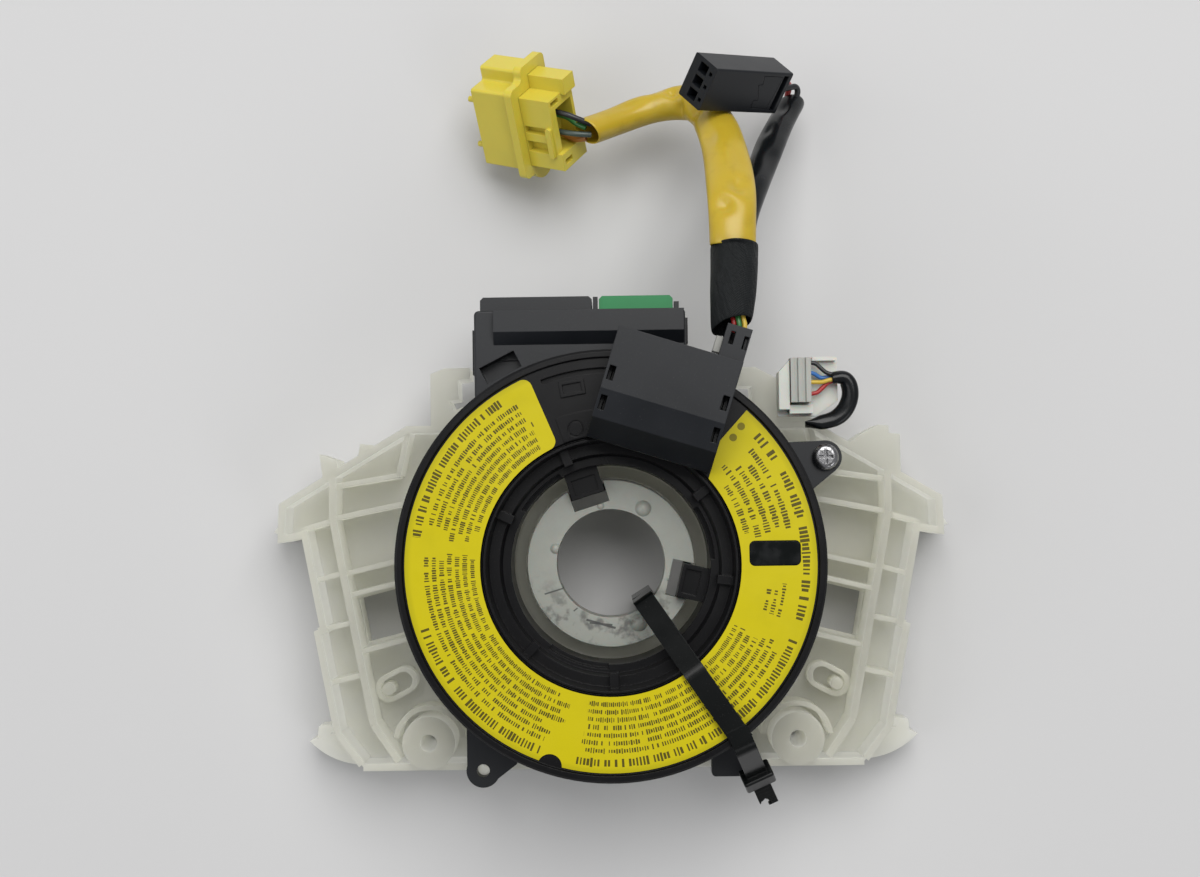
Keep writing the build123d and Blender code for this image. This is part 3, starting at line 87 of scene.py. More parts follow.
class Paint:
    """A finish: one Principled shader and the nodes that feed it."""

    def __init__(self, name, colour, roughness, **sockets):
        self.material = bpy.data.materials.new(name)
        self.material.use_nodes = True
        self.tree = self.material.node_tree
        self.shader = self.tree.nodes["Principled BSDF"]
        self.set("Base Color", (*colour, 1.0))
        self.set("Roughness", roughness)
        for socket, value in sockets.items():
            self.set(socket.replace("_", " "), value)

    def node(self, kind, settings, inputs, output=0):
        """New node; inputs are linked where they are sockets and typed in where they are numbers."""
        made = self.tree.nodes.new(kind)
        for key, value in settings.items():
            setattr(made, key, value)
        for key, value in inputs.items():
            if isinstance(value, Socket):
                self.tree.links.new(value.socket, made.inputs[key])
            else:
                made.inputs[key].default_value = value
        return Socket(self, made.outputs[output])

    def set(self, socket, value):
        """Link or type in one input of the shader."""
        if isinstance(value, Socket):
            self.tree.links.new(value.socket, self.shader.inputs[socket])
        else:
            self.shader.inputs[socket].default_value = value

    def math_of(self, operation, *terms):
        """One step of arithmetic."""
        return self.node("ShaderNodeMath", {"operation": operation}, dict(enumerate(terms)))

    def place(self):
        """Position in the row frame, in metres."""
        return self.node("ShaderNodeTexCoord", {}, {}, "Object")

    def axes(self, place):
        """The three numbers of a position."""
        split = self.node("ShaderNodeSeparateXYZ", {}, {"Vector": place})
        return [Socket(self, socket) for socket in split.socket.node.outputs]

    def noise(self, scale, detail=2.0, place=None, roughness=0.5):
        """Cloudy value from 0 to 1; scale is in clouds per metre."""
        return self.node("ShaderNodeTexNoise", {}, {
            "Vector": place or self.place(), "Scale": scale, "Detail": detail, "Roughness": roughness})

    def ramp(self, value, low, high, out_low=0.0, out_high=1.0):
        """Value moved from one range to another, smoothly and clamped."""
        return self.node(
            "ShaderNodeMapRange", {"interpolation_type": "SMOOTHSTEP"},
            {"Value": value, "From Min": low, "From Max": high, "To Min": out_low, "To Max": out_high})

    def mix(self, share, first, second):
        """Two colours, mixed by a share."""
        def colour(value):
            return value if isinstance(value, Socket) else (*value, 1.0)

        return self.node(
            "ShaderNodeMix", {"data_type": "RGBA"}, {0: share, 6: colour(first), 7: colour(second)}, 2)

    def bump(self, height, distance, strength=1.0, normal=None):
        """Relief from a height; distance in metres."""
        inputs = {"Height": height, "Distance": distance, "Strength": strength}
        if normal is not None:
            inputs["Normal"] = normal
        return self.node("ShaderNodeBump", {}, inputs)

    def random(self, *numbers):
        """A random value from 0 to 1 that belongs to up to three whole numbers."""
        vector = self.node("ShaderNodeCombineXYZ", {}, dict(enumerate(numbers)))
        return self.node("ShaderNodeTexWhiteNoise", {"noise_dimensions": "3D"}, {"Vector": vector})

    def let_through(self, colour, share):
        """Let a share of the light shine through from behind."""
        behind = self.tree.nodes.new("ShaderNodeBsdfTranslucent")
        behind.inputs["Color"].default_value = (*colour, 1.0)
        both = self.tree.nodes.new("ShaderNodeMixShader")
        both.inputs[0].default_value = share
        self.tree.links.new(self.shader.outputs[0], both.inputs[1])
        self.tree.links.new(behind.outputs[0], both.inputs[2])
        self.tree.links.new(both.outputs[0], self.tree.nodes["Material Output"].inputs["Surface"])

    def soft_edges(self, radius):
        """Shading normal of slightly rounded edges."""
        return self.node("ShaderNodeBevel", {"samples": 4}, {"Radius": radius})


def satin_black(name, roughness, colour=(0.012, 0.012, 0.014), shine=0.5, edge=0.25 * MM):
    """Black moulded plastic: faint cloudiness in the gloss, fine dust, rounded edges."""
    paint = Paint(name, colour, roughness, Specular_IOR_Level=shine)
    cloud = paint.noise(90.0, 4.0)
    dust = paint.ramp(paint.noise(5200.0, 1.0), 0.72, 0.80)
    tone = paint.mix(cloud, colour, tuple(c * 1.5 + 0.002 for c in colour))
    paint.set("Base Color", paint.mix(dust * 0.35, tone, (0.16, 0.16, 0.15)))
    paint.set("Roughness", cloud * 0.16 + (roughness - 0.08))
    paint.set("Normal", paint.soft_edges(edge))
    return paint.material


def plain_plastic(name, colour, roughness, edge=0.2 * MM, **sockets):
    """Coloured moulded plastic."""
    paint = Paint(name, colour, roughness, **sockets)
    cloud = paint.noise(120.0, 3.0)
    duller = tuple(c * 0.92 for c in colour)
    brighter = tuple(min(1, c * 1.06) for c in colour)
    paint.set("Base Color", paint.mix(cloud, duller, brighter))
    paint.set("Roughness", cloud * 0.12 + (roughness - 0.06))
    if edge:
        paint.set("Normal", paint.soft_edges(edge))
    return paint.material


# Heights between which the bracket's colour greys towards the rib tops, a painted shade.
RIB_FOOT = 13.0
RIB_TOP = 23.0


def milky_nylon():
    """Undyed, cloudy plastic that lets light through, with rib tops greyed as painted shade, warm stains and
    specks.
    """
    # The third colour is the grey of the painted shade on the rib tops.
    clear, dense, wear_and_shade = (0.96, 0.96, 0.90), (0.88, 0.88, 0.80), (0.57, 0.565, 0.49)
    paint = Paint("milky_nylon", clear, 0.4, Subsurface_Weight=0.5, Subsurface_Scale=6 * MM)
    paint.set("Subsurface Radius", (1.0, 1.0, 0.8))
    cloud = paint.noise(45.0, 4.0)
    grain = paint.noise(900.0, 2.0)
    height = paint.axes(paint.place())[2]
    tone = paint.mix(cloud * 0.8, clear, dense)
    # Painted shade: the colour greys from the rib feet up to the rib tops, standing in for how light falls
    # through the cloudy plastic.
    tone = paint.mix(paint.ramp(height, RIB_FOOT * MM, RIB_TOP * MM), tone, wear_and_shade)
    stain = paint.ramp(paint.noise(26.0, 5.0, roughness=0.6), 0.48, 0.72) * 0.5
    tone = paint.mix(stain, tone, (0.76, 0.74, 0.62))
    dirt = paint.ramp(paint.noise(1400.0, 2.0), 0.70, 0.78) * 0.3
    paint.set("Base Color", paint.mix(dirt, tone, (0.20, 0.18, 0.14)))
    paint.set("Roughness", grain * 0.2 + 0.3)
    paint.set("Alpha", paint.ramp(cloud, 0.3, 0.7, 0.88, 0.95))
    paint.set("Normal", paint.soft_edges(0.35 * MM))
    paint.let_through((0.98, 0.98, 0.95), 0.72)
    return paint.material


# Scribed marks on the cam: from, to, width.
CAM_MARKS = [
    ((-16.9, -7.6), (-12.2, -6.2), 0.35), ((-9.6, -12.0), (-8.6, -11.2), 0.3),
    ((-6.4, -14.2), (1.0, -16.4), 0.5), ((-5.6, -15.0), (0.2, -15.6), 0.4),
]


def scribed(paint, x, y, start, stop, width):
    """Straight stroke between two places on the cam."""
    run = Vector(stop) - Vector(start)
    half = run.length / 2
    along = run.normalized()
    off_x = x - start[0] * MM
    off_y = y - start[1] * MM
    forward = off_x * along.x + off_y * along.y
    aside = abs(off_y * along.x - off_x * along.y)
    inside = abs(forward - half * MM) < half * MM
    return inside * paint.ramp(aside, width * 0.4 * MM, width * 0.7 * MM, 1.0, 0.0)


def cam_plastic():
    """Off-white cam, painted darker all over as shade deep in the hub: cloudy, rubbed grey, with a few
    scribed marks.
    """
    # The off-white is painted down to a mid grey: painted shade of the cam's place deep in the hub.
    white = (0.33, 0.34, 0.305)
    paint = Paint("cam_plastic", white, 0.42, Subsurface_Weight=0.3, Subsurface_Scale=2 * MM)
    x, y, _ = paint.axes(paint.place())
    cloud = paint.noise(160.0, 5.0, roughness=0.65)
    # Rubbed grey smudges, on the lower part of the cam only.
    wear_and_shade = paint.ramp(paint.noise(380.0, 5.0), 0.47, 0.68) * paint.ramp(y, 0.0, -14 * MM) * 0.8
    tone = paint.mix(cloud, white, (0.25, 0.26, 0.23))
    tone = paint.mix(wear_and_shade, tone, (0.09, 0.09, 0.085))
    marks = None
    for start, stop, width in CAM_MARKS:
        mark = scribed(paint, x, y, start, stop, width)
        marks = mark if marks is None else marks.either(mark)
    paint.set("Base Color", paint.mix(marks * 0.85, tone, (0.03, 0.03, 0.03)))
    paint.set("Roughness", cloud * 0.25 + 0.3)
    paint.set("Normal", paint.soft_edges(0.3 * MM))
    return paint.material


# Arc fields of bars on the label: from and to azimuth, inner and outer radius, rows, bar pitch, half height
# of a bar as a share of its row, raggedness of the row ends in degrees.
PRINT_FIELDS = [
    (118.0, 171.0, 32.9, 46.1, 7, 0.56, 0.36, 7.0), (123.5, 171.0, 46.8, 49.3, 1, 0.72, 0.46, 0.0),
    (175.0, 253.0, 32.9, 46.1, 7, 0.56, 0.36, 9.0), (198.0, 248.0, 46.8, 49.3, 1, 0.72, 0.46, 0.0),
    (258.0, 340.0, 32.9, 46.1, 7, 0.56, 0.36, 9.0), (259.0, 337.0, 46.8, 49.3, 1, 0.72, 0.46, 0.0),
    (10.0, 41.0, 32.9, 45.6, 5, 0.70, 0.34, 8.0), (-17.0, 28.0, 46.4, 49.2, 1, 0.85, 0.44, 0.0),
    (32.0, 42.0, 46.2, 49.4, 1, 1.1, 0.44, 0.0), (-18.0, -6.0, 38.2, 43.6, 3, 0.70, 0.34, 3.0),
]
ARC_PER_DEGREE = 0.70    # on the label's middle radius
PRINT_DOTS = [((32.4, 33.6), 0.95), ((30.4, 30.9), 0.95)]


def bar_field(paint, radius, azimuth, field):
    """Rows of plain upright bars in one arc, with gaps between groups and ragged row ends."""
    start, stop, inner, outer, rows, pitch, half_height, ragged = field
    swept = (azimuth - start) % 360.0
    row_at = (radius - inner) / ((outer - inner) / rows)
    row = paint.math_of("FLOOR", row_at)
    height = row_at - row
    column_at = swept * (ARC_PER_DEGREE / pitch)
    column = paint.math_of("FLOOR", column_at)
    across = column_at - column
    thick = paint.random(column, row, start) * 0.20 + 0.20
    tall = paint.random(row, column, start + 7.0) * 0.16
    bar = (abs(across - 0.42) < thick) * (abs(height - 0.5) < (half_height - tall))
    group = paint.random(column, row, start + 3.0) > 0.15
    margin = paint.random(row, start, 5.0) * ragged
    inside = (swept < (stop - start - margin)) * (swept > (margin * 0.35))
    inside = inside * (radius > inner) * (radius < outer)
    return bar * group * inside


def greeked_label():
    """Yellow film printed with rows of plain upright bars, set in arcs, and two dots."""
    yellow = (0.50, 0.425, 0.003)
    paint = Paint("greeked_label", yellow, 0.32, Specular_IOR_Level=0.22)
    x, y, _ = paint.axes(paint.place())
    radius = paint.math_of("SQRT", x * x + y * y) * 1000.0
    azimuth = paint.math_of("ARCTAN2", y, x) * (180.0 / math.pi) % 360.0
    printed = None
    for field in PRINT_FIELDS:
        bars = bar_field(paint, radius, azimuth, field)
        printed = bars if printed is None else printed.either(bars)
    for (dot_x, dot_y), dot_radius in PRINT_DOTS:
        off_x, off_y = x * 1000.0 - dot_x, y * 1000.0 - dot_y
        away = paint.math_of("SQRT", off_x * off_x + off_y * off_y)
        printed = printed.either((away < dot_radius) * 0.75)
    smudge = paint.ramp(paint.noise(70.0, 5.0, roughness=0.6), 0.45, 0.75) * 0.30
    rim = paint.ramp(radius, 48.6, 50.3) * 0.7
    tone = paint.mix(smudge.either(rim), yellow, (0.38, 0.33, 0.003))
    paint.set("Base Color", paint.mix(printed * 0.92, tone, (0.045, 0.035, 0.008)))
    paint.set("Roughness", paint.noise(60.0, 3.0) * 0.22 + 0.22)
    ripple = paint.noise(90.0, 2.0)
    paint.set("Normal", paint.bump(ripple, 0.4 * MM, 0.35))
    return paint.material


def cloth_tape():
    """Black cloth tape: fine weave with long drawn creases."""
    paint = Paint("cloth_tape", (0.010, 0.011, 0.012), 0.6, Specular_IOR_Level=0.22)
    x, y, z = paint.axes(paint.place())
    weave = paint.math_of("SINE", y * 11000.0) * paint.math_of("SINE", (x + z) * 11000.0)
    lean = paint.node("ShaderNodeCombineXYZ", {}, {0: x + y * 0.35, 1: y * 0.16, 2: z})
    creases = paint.noise(750.0, 3.0, lean)
    fluff = paint.ramp(paint.noise(3200.0, 2.0), 0.66, 0.80) * 0.5
    # The colour follows the crease relief and is darker in its hollows: painted shade in the creases.
    tone = paint.mix(creases, (0.003, 0.004, 0.0045), (0.009, 0.011, 0.012))
    paint.set("Base Color", paint.mix(fluff * 0.3, tone, (0.08, 0.08, 0.08)))
    relief = paint.bump(creases, 0.9 * MM, 0.8)
    paint.set("Normal", paint.bump(weave, 0.12 * MM, 0.5, relief))
    return paint.material


def soft_vinyl(name, colour, shade, roughness, shine=0.4, crease=0.5):
    """Sleeve vinyl: soft gloss, shallow dents, a little grime in the hollows."""
    paint = Paint(name, colour, roughness, Specular_IOR_Level=shine)
    paint.set("Subsurface Weight", 0.08)
    paint.set("Subsurface Scale", 1 * MM)
    cloud = paint.noise(55.0, 3.0)
    grime = paint.ramp(paint.noise(260.0, 4.0), 0.5, 0.8) * 0.25
    tone = paint.mix(cloud * 0.8, colour, shade)
    paint.set("Base Color", paint.mix(grime, tone, tuple(c * 0.6 for c in shade)))
    paint.set("Roughness", paint.noise(180.0, 3.0) * 0.2 + (roughness - 0.1))
    dents = paint.noise(90.0, 1.0)
    fine = paint.noise(1500.0, 2.0)
    paint.set("Normal", paint.bump(fine, 0.03 * MM, 0.4, paint.bump(dents, 1.2 * MM, crease)))
    return paint.material


def steel_screw():
    """Dark plated steel with turning marks and a worn recess."""
    paint = Paint("steel_screw", (0.32, 0.32, 0.33), 0.26, Metallic=1.0)
    spots = paint.ramp(paint.noise(1800.0, 4.0), 0.45, 0.7)
    paint.set("Base Color", paint.mix(spots, (0.34, 0.34, 0.35), (0.10, 0.10, 0.10)))
    paint.set("Roughness", spots * 0.25 + 0.2)
    paint.set("Normal", paint.soft_edges(0.2 * MM))
    return paint.material


def window_film():
    """Smoked film with a faint haze."""
    paint = Paint("window_film", (0.005, 0.006, 0.006), 0.22, Specular_IOR_Level=0.10)
    haze = paint.ramp(paint.noise(200.0, 3.0), 0.4, 0.8)
    paint.set("Base Color", paint.mix(haze, (0.004, 0.005, 0.005), (0.010, 0.011, 0.012)))
    paint.set("Roughness", haze * 0.3 + 0.18)
    paint.set("Normal", paint.soft_edges(0.3 * MM))
    return paint.material


MILKY = milky_nylon()
CASE_BLACK = satin_black("case_black", 0.38, (0.006, 0.007, 0.009), 0.34)
ROTOR_BLACK = satin_black("rotor_black", 0.30, (0.002, 0.002, 0.0025), 0.20)
COVER_BLACK = satin_black("cover_black", 0.36, (0.005, 0.006, 0.008), 0.30)
STRAP_BLACK = satin_black("strap_black", 0.20, (0.001, 0.0015, 0.0015), 0.22)
GREEN = plain_plastic("socket_green", (0.028, 0.21, 0.075), 0.36, Specular_IOR_Level=0.25)
CAM_WHITE = cam_plastic()
PLUG_WHITE = plain_plastic(
    "plug_white", (0.38, 0.39, 0.36), 0.4, Subsurface_Weight=0.3, Subsurface_Scale=1 * MM)
CLIP_GREY = plain_plastic("clip_grey", (0.26, 0.26, 0.24), 0.35)
CLEAR_WHITE = plain_plastic(
    "clear_white", (0.60, 0.61, 0.56), 0.35, Subsurface_Weight=0.4, Subsurface_Scale=2 * MM)
PALE_YELLOW = plain_plastic(
    "plug_yellow", (0.62, 0.52, 0.06), 0.30, Subsurface_Weight=0.12, Subsurface_Scale=1 * MM)
BROWN = plain_plastic("insulator_brown", (0.12, 0.06, 0.03), 0.5)
SCREW = steel_screw()
PINS = plain_plastic("tinned_pins", (0.62, 0.58, 0.50), 0.3, edge=0, Metallic=1.0)
FILM = plain_plastic("ribbon_film", (0.40, 0.20, 0.06), 0.3, edge=0)
WINDOW = window_film()
LABEL = greeked_label()
TAPE = cloth_tape()
YELLOW_SLEEVE = soft_vinyl("yellow_vinyl", (0.52, 0.375, 0.028), (0.40, 0.27, 0.015), 0.34, shine=0.5)
BLACK_SLEEVE = soft_vinyl("black_vinyl", (0.003, 0.004, 0.005), (0.006, 0.007, 0.008), 0.24, shine=0.3)
WIRE_COLOURS = {
    "black": (0.012, 0.012, 0.014),
    "blue": (0.03, 0.14, 0.42),
    "yellow": (0.60, 0.42, 0.05),
    "red": (0.36, 0.015, 0.015),
    "green": (0.03, 0.16, 0.04),
    "grey": (0.05, 0.07, 0.06),
    "orange": (0.36, 0.14, 0.03),
}
WIRES = {name: plain_plastic("wire_" + name, colour, 0.35, edge=0) for name, colour in WIRE_COLOURS.items()}
FINISHES = {
    "column_bracket": MILKY,
    "stator_case": CASE_BLACK,
    "stator_back_cover": CASE_BLACK,
    "black_socket": CASE_BLACK,
    "green_socket": GREEN,
    "socket_pins": PINS,
    "terminal_block": CASE_BLACK,
    "ear_screw": SCREW,
    "ribbon_cable": FILM,
    "rotor": ROTOR_BLACK,
    "rotor_label": LABEL,
    "neutral_window": WINDOW,
    "cancel_cam": CAM_WHITE,
    "block_cover": COVER_BLACK,
    "joint_block": BROWN,
    "neck_clip": CLIP_GREY,
    "tape_wrap": TAPE,
    "airbag_sleeve": YELLOW_SLEEVE,
    "switch_sleeve": BLACK_SLEEVE,
    "airbag_connector_shell": PALE_YELLOW,
    "airbag_connector_insert": PALE_YELLOW,
    "switch_connector": COVER_BLACK,
    "switch_connector_retainer": COVER_BLACK,
    "sensor_socket": CLEAR_WHITE,
    "sensor_plug": PLUG_WHITE,
    "sensor_sleeve": BLACK_SLEEVE,
    "transport_strap": STRAP_BLACK,
}


def finish_with(piece, material):
    """Give a piece one finish all over."""
    piece.data.materials.clear()
    piece.data.materials.append(material)


# A wire's colour is the last word of its name.
for node_name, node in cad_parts.items():
    finish_with(node, FINISHES.get(node_name) or WIRES[node_name.rsplit("_", 1)[1]])


# ------------------------------------------------------------------ sleeves and wires
def put(name, data):
    """New object in the scene."""
    made = bpy.data.objects.new(name, data)
    bpy.context.scene.collection.objects.link(made)
    return made


def pick(piece):
    """Select this piece and nothing else."""
    bpy.ops.object.select_all(action="DESELECT")
    piece.select_set(True)
    bpy.context.view_layer.objects.active = piece


def curve_along(name, route):
    """Smooth curve pulled by given points."""
    data = bpy.data.curves.new(name, "CURVE")
    data.dimensions = "3D"
    data.resolution_u = 10
    spline = data.splines.new("NURBS")
    spline.points.add(len(route) - 1)
    for point, at in zip(spline.points, route):
        point.co = (*(c * MM for c in at), 1.0)
    spline.order_u = 3
    spline.use_endpoint_u = True
    return data


def route_line(route):
    """Points of the smooth line that a listed route gives."""
    line = put("route", curve_along("route", route))
    mesh = bpy.data.meshes.new_from_object(line.evaluated_get(bpy.context.evaluated_depsgraph_get()))
    points = [vertex.co.copy() for vertex in mesh.vertices]
    bpy.data.objects.remove(line)
    return points


def between(stations, share):
    """Row of values at a share of the length, eased between given stations."""
    for (low, before), (high, after) in zip(stations, stations[1:]):
        if share <= high:
            part = (share - low) / (high - low)
            part = part * part * (3 - 2 * part)
            return [a + (b - a) * part for a, b in zip(before, after)]
    return list(stations[-1][1])


SLEEVE_SIDES = 36


def dented(dents, share, angle):
    """Size of the tube at a place, as a share of its full size."""
    size = 1.0
    for at, towards, reach, spread, depth in dents:
        turn = (angle - towards + 180.0) % 360.0 - 180.0
        size -= depth * math.exp(-((share - at) / reach) ** 2 - (turn / spread) ** 2)
    return size


def slanted(cuts, share, angle):
    """How far a slanted end moves a place along the tube."""
    slide = 0.0
    for end, towards, far, reach in cuts:
        nearness = max(0.0, 1.0 - abs(share - end) / reach)
        slide += far * nearness * math.cos(math.radians(angle - towards))
    return slide


def tube_rings(mesh, points, stations, dents, cuts):
    """Rings of corners along a line, each turned with the line and shaped by its place along it."""
    lengths = [0.0]
    for before, after in zip(points, points[1:]):
        lengths.append(lengths[-1] + (after - before).length)
    rings = []
    aside = Vector((1, 0, 0))
    for index, centre in enumerate(points):
        ahead = (points[min(index + 1, len(points) - 1)] - points[max(index - 1, 0)]).normalized()
        aside = (aside - ahead * aside.dot(ahead)).normalized()
        up = aside.cross(ahead)
        share = lengths[index] / lengths[-1]
        half_width, half_depth, lean = between(stations, share)
        lean = math.radians(lean)
        flat = aside * math.cos(lean) + up * math.sin(lean)
        deep = up * math.cos(lean) - aside * math.sin(lean)
        ring = []
        for side in range(SLEEVE_SIDES):
            angle = 360.0 * side / SLEEVE_SIDES
            cos, sin = math.cos(math.radians(angle)), math.sin(math.radians(angle))
            offset = flat * (half_width * cos) + deep * (half_depth * sin)
            offset = offset * dented(dents, share, angle) + ahead * slanted(cuts, share, angle)
            ring.append(mesh.verts.new(centre + offset * MM))
        rings.append(ring)
    return rings


def sleeve(name, points, stations, dents, wall, material, cuts=()):
    """Flattened tube of soft material along a line. A station is (share, (half width, half depth, lean in
    degrees)), a dent is (share, angle, reach in shares, reach in degrees, depth as a share), and a cut draws
    one end out along the tube on one side: (end share, angle, how far, reach in shares)."""
    mesh = bmesh.new()
    rings = tube_rings(mesh, points, stations, dents, cuts)
    for before, after in zip(rings, rings[1:]):
        for side in range(SLEEVE_SIDES):
            beside = (side + 1) % SLEEVE_SIDES
            mesh.faces.new((before[side], before[beside], after[beside], after[side]))
    bmesh.ops.recalc_face_normals(mesh, faces=mesh.faces)
    data = bpy.data.meshes.new(name)
    mesh.to_mesh(data)
    mesh.free()
    made = put(name, data)
    finish_with(made, material)
    pick(made)
    thicken = made.modifiers.new("wall", "SOLIDIFY")
    thicken.thickness = wall * MM
    thicken.offset = -1.0
    bpy.ops.object.modifier_apply(modifier="wall")
    soften = made.modifiers.new("soften", "SUBSURF")
    soften.levels = 1
    soften.render_levels = 1
    bpy.ops.object.modifier_apply(modifier="soften")
    bpy.ops.object.shade_smooth()
    return made


def wire(name, route, radius, material):
    """Round insulated wire through given points."""
    data = curve_along(name, route)
    data.bevel_depth = radius * MM
    data.bevel_resolution = 4
    data.use_fill_caps = True
    data.materials.append(material)
    return put(name, data)


def leads(name, node_name, routes, radius, body):
    """The wires of one bundle, one of each colour, in place of the plain ones."""
    made = []
    for colour, route in routes.items():
        piece = wire(name + colour, route, radius, WIRES[colour])
        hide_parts(node_name + colour)
        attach(piece, body)
        made.append(piece)
    return made


AIRBAG_ROUTE = [
    (30.8, 77.6, 54.6), (30.8, 84.0, 54.6), (31.0, 91.3, 50.8), (30.6, 101.6, 41.0), (29.1, 112.3, 29.0),
    (25.2, 120.3, 19.4), (18.5, 121.7, 15.7), (9.5, 119.3, 16.0), (2.2, 115.6, 19.5), (-4.8, 112.1, 25.0),
]
SWITCH_ROUTE = [
    (33.5, 77.6, 45.9), (33.5, 82.4, 45.9), (34.7, 87.4, 44.1), (36.8, 92.6, 40.4), (39.3, 98.6, 34.2),
    (43.4, 108.9, 24.0), (47.0, 116.1, 16.0), (50.0, 121.6, 10.5),
]
SENSOR_ROUTE = [
    (57.4, 46.6, 28.6), (60.2, 47.2, 28.8), (62.0, 45.0, 28.8), (62.2, 41.3, 28.8),
    (60.2, 37.4, 28.6), (56.4, 35.3, 28.2), (50.4, 34.8, 27.8),
]

SLEEVE_WALL = 0.45

AIRBAG_STATIONS = [
    (0.0, (5.7, 3.7, 0)), (0.18, (6.1, 3.5, 2)), (0.42, (5.6, 3.9, 6)), (0.56, (5.2, 4.2, 10)),
    (0.66, (4.7, 4.6, 20)), (0.80, (4.2, 3.9, 10)), (0.92, (3.9, 3.7, 0)), (1.0, (4.4, 3.7, -8)),
]
# A crease near the tape, two shallow hollows, then the pinched fold at the bend.
AIRBAG_DENTS = [
    (0.095, 114, 0.020, 30, 0.46), (0.155, 72, 0.030, 26, 0.42), (0.125, 84, 0.020, 20, -0.05),
    (0.26, 62, 0.09, 24, 0.16), (0.38, 128, 0.05, 24, 0.20),
    (0.56, 130, 0.035, 45, 0.45), (0.60, 90, 0.02, 30, 0.30), (0.655, 160, 0.025, 30, 0.30),
    (0.70, 95, 0.022, 24, 0.42), (0.745, 60, 0.03, 24, 0.20), (0.84, 110, 0.06, 22, 0.16),
]
airbag_line = route_line(AIRBAG_ROUTE)
airbag_sleeve = sleeve(
    "airbag_sleeve_soft", airbag_line, AIRBAG_STATIONS, AIRBAG_DENTS, SLEEVE_WALL, YELLOW_SLEEVE,
    cuts=[(1.0, 90, 1.2, 0.06)])
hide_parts("airbag_sleeve")
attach(airbag_sleeve, "rotor")

SWITCH_STATIONS = [
    (0.0, (3.5, 2.9, 0)), (0.35, (3.6, 2.8, 10)), (0.65, (4.0, 2.5, 18)), (0.9, (3.7, 2.7, 24)),
    (1.0, (3.6, 3.0, 24)),
]
SWITCH_DENTS = [(0.5, 60, 0.08, 30, 0.18), (0.72, 110, 0.06, 25, 0.22), (0.9, 80, 0.04, 20, 0.2)]
switch_line = route_line(SWITCH_ROUTE)
switch_sleeve = sleeve(
    "switch_sleeve_soft", switch_line, SWITCH_STATIONS, SWITCH_DENTS, SLEEVE_WALL, BLACK_SLEEVE,
    cuts=[(1.0, 20, 1.5, 0.08)])
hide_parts("switch_sleeve")
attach(switch_sleeve, "rotor")

SENSOR_SLEEVE_WALL = 0.35
SENSOR_STATIONS = [
    (0.0, (1.5, 1.9, 0)), (0.25, (2.2, 1.7, 0)), (0.55, (2.3, 1.5, 0)), (0.80, (2.0, 1.5, 0)),
    (1.0, (0.5, 2.1, 0)),
]
SENSOR_DENTS = [(0.45, 90, 0.2, 30, 0.12)]
sensor_sleeve = sleeve(
    "sensor_sleeve_soft", route_line(SENSOR_ROUTE), SENSOR_STATIONS, SENSOR_DENTS, SENSOR_SLEEVE_WALL,
    BLACK_SLEEVE)
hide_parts("sensor_sleeve")
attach(sensor_sleeve, "bracket")

AIRBAG_WIRE_R = 0.75
AIRBAG_WIRE_ROUTES = {
    "black": [(-14.7, 117.7, 25.5), (-11.2, 116.7, 27.6), (-6.8, 114.9, 27.6), (-3.6, 113.8, 26.3)],
    "green": [(-12.4, 117.6, 21.4), (-9.6, 116.8, 22.4), (-7.6, 114.4, 24.0), (-4.9, 113.3, 24.3)],
    "grey": [(-13.9, 113.3, 21.8), (-10.8, 112.2, 24.2), (-7.0, 111.4, 25.2), (-3.6, 111.4, 24.8)],
    "orange": [(-11.6, 113.3, 17.9), (-9.4, 112.0, 19.0), (-7.4, 110.6, 21.4), (-4.9, 110.9, 22.8)],
}
airbag_wires = leads("airbag_lead_", "airbag_wire_", AIRBAG_WIRE_ROUTES, AIRBAG_WIRE_R, "rotor")

NECK_WIRE_R = 0.62
NECK_WIRE_ROUTES = {
    "red": [(30.13, 56.11, 57.5), (30.7, 57.9, 57.6), (30.3, 59.6, 57.4), (30.0, 61.5, 57.0)],
    "green": [(31.42, 55.70, 57.9), (31.9, 57.2, 58.1), (31.6, 59.2, 58.0), (31.1, 61.5, 57.4)],
    "yellow": [(32.71, 55.29, 57.5), (33.3, 57.2, 57.4), (32.9, 59.3, 57.3), (32.3, 61.5, 57.0)],
}
leads("neck_lead_", "neck_wire_", NECK_WIRE_ROUTES, NECK_WIRE_R, "rotor")

SENSOR_WIRE_R = 0.55
SENSOR_WIRE_ROUTES = {
    "black": [
        (49.9, 50.6, 28.6), (53.0, 50.9, 28.7), (54.6, 49.2, 29.0), (56.4, 47.6, 29.1), (58.6, 47.4, 29.1)],
    "blue": [
        (49.9, 48.2, 28.6), (52.6, 48.3, 28.2), (54.6, 46.6, 27.9), (56.4, 46.9, 27.9), (58.6, 47.2, 27.9)],
    "yellow": [
        (49.9, 45.6, 28.6), (52.9, 45.7, 28.6), (54.8, 45.5, 29.1), (56.8, 46.2, 29.3), (58.6, 46.4, 29.3)],
    "red": [
        (49.9, 42.6, 28.6), (53.2, 42.5, 28.6), (54.8, 43.9, 28.4), (56.8, 45.9, 28.2), (58.6, 46.1, 28.1)],
}
leads("sensor_lead_", "sensor_wire_", SENSOR_WIRE_ROUTES, SENSOR_WIRE_R, "bracket")

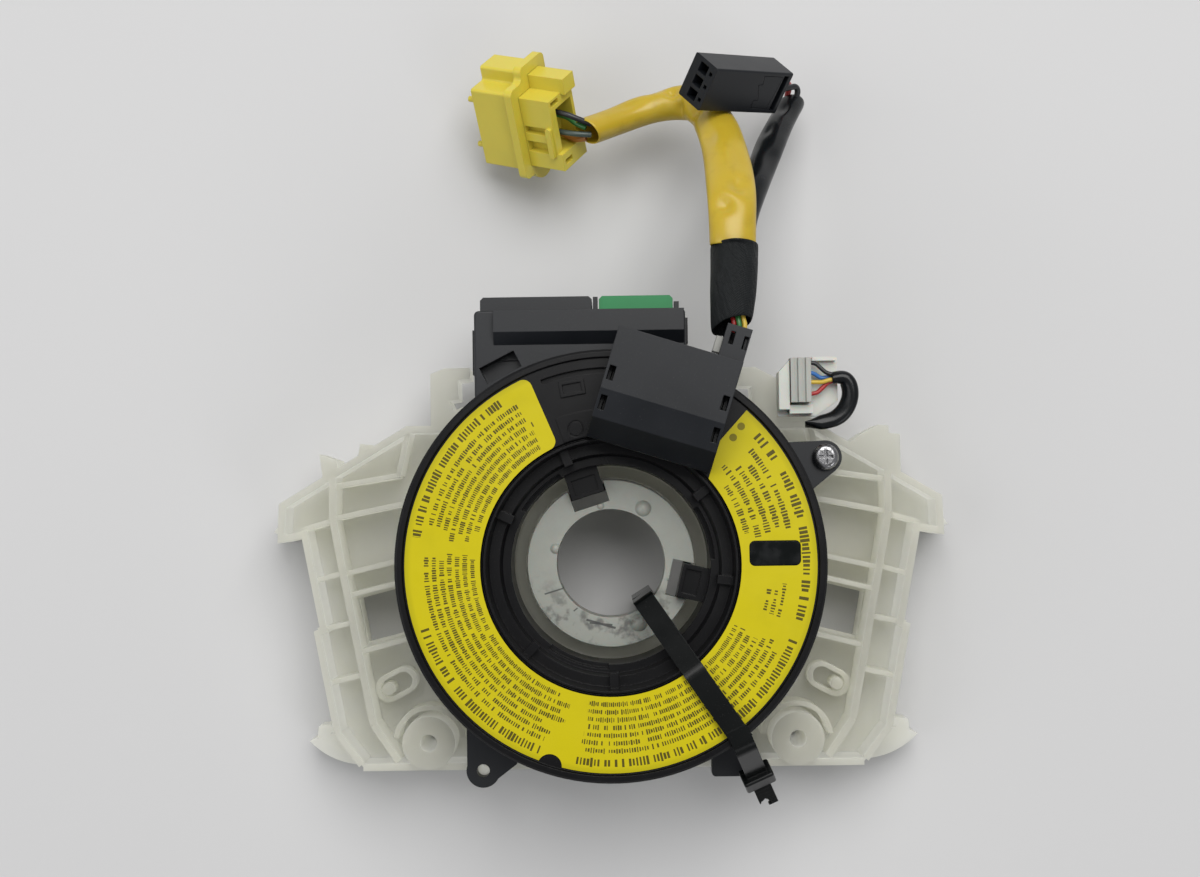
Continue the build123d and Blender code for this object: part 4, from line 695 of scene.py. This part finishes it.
TAPE_THICK = 0.5
TAPE_ROUTE = [
    (30.0, 57.6, 56.2), (30.1, 59.6, 56.2), (30.3, 62.0, 56.0), (30.5, 64.5, 55.8), (30.7, 67.0, 55.3),
    (30.9, 69.5, 54.6), (31.1, 72.0, 53.4), (31.25, 74.3, 52.0), (31.35, 76.2, 51.2), (31.4, 78.1, 51.2),
]
TAPE_STATIONS = [
    (0.0, (4.9, 4.3, 0)), (0.12, (5.3, 4.6, 0)), (0.45, (5.7, 5.6, 0)), (0.8, (5.85, 7.6, 0)),
    (1.0, (5.9, 8.6, 0)),
]
TAPE_DENTS = [
    (0.10, 150, 0.12, 30, 0.10), (0.35, 60, 0.10, 22, 0.07), (0.55, 110, 0.12, 20, 0.06),
    (0.75, 75, 0.10, 18, 0.05),
]
tape = sleeve(
    "tape_wrap_cloth", [Vector(at) * MM for at in TAPE_ROUTE], TAPE_STATIONS, TAPE_DENTS, TAPE_THICK, TAPE,
    cuts=[(0.0, 50, 2.3, 0.30), (1.0, 60, 0.3, 0.1)])
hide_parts("tape_wrap")
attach(tape, "rotor")

# ------------------------------------------------------------------ floor, light, camera
floor_paint = Paint("floor_paper", (0.54, 0.54, 0.545), 0.75)
floor_cloud = floor_paint.noise(6.0, 3.0)
floor_paint.set("Base Color", floor_paint.mix(floor_cloud, (0.53, 0.53, 0.535), (0.55, 0.55, 0.555)))
bpy.ops.mesh.primitive_plane_add(size=6.0, location=(0, 0, 0))
floor = bpy.context.object
floor.name = "floor"
finish_with(floor, floor_paint.material)

world = bpy.data.worlds.new("room")
bpy.context.scene.world = world
world.use_nodes = True
sky = world.node_tree.nodes["Background"]
sky.inputs["Color"].default_value = (0.97, 0.98, 1.0, 1.0)
sky.inputs["Strength"].default_value = 0.33


def lamp(name, at, look_at, size, watts, colour=(1, 1, 1)):
    """Square soft lamp."""
    data = bpy.data.lights.new(name, "AREA")
    data.shape = "SQUARE"
    data.size = size
    data.energy = watts
    data.color = colour
    made = put(name, data)
    made.location = at
    made.rotation_euler = (Vector(look_at) - Vector(at)).to_track_quat("-Z", "Y").to_euler()


lamp("window_lamp", (0.20, 0.80, 1.35), (0, 0.10, 0), 1.2, 22.5, (1.0, 0.99, 0.97))
lamp("side_lamp", (-1.2, -0.1, 1.2), (0, 0.0, 0), 1.1, 7.0)
lamp("wall_lamp", (1.0, -1.1, 1.2), (0, 0.0, 0), 0.8, 4.0)

CAMERA_AT = Vector((0.5, 14.78, 490.95)) * MM
CAMERA_RIGHT = Vector((0.99988, -0.01373, -0.00666))
CAMERA_UP = Vector((0.01396, 0.99922, 0.03692))
CAMERA_BACK = Vector((0.00615, -0.03701, 0.9993))
camera_data = bpy.data.cameras.new("camera")
camera_data.lens = 54.0
camera_data.sensor_width = 36.0
camera_data.clip_start = 0.01
camera = put("camera", camera_data)
camera_turn = Matrix((CAMERA_RIGHT, CAMERA_UP, CAMERA_BACK)).transposed().to_4x4()
camera.matrix_world = Matrix.Translation(CAMERA_AT) @ camera_turn
bpy.context.scene.camera = camera
bpy.context.scene.view_settings.view_transform = "Standard"
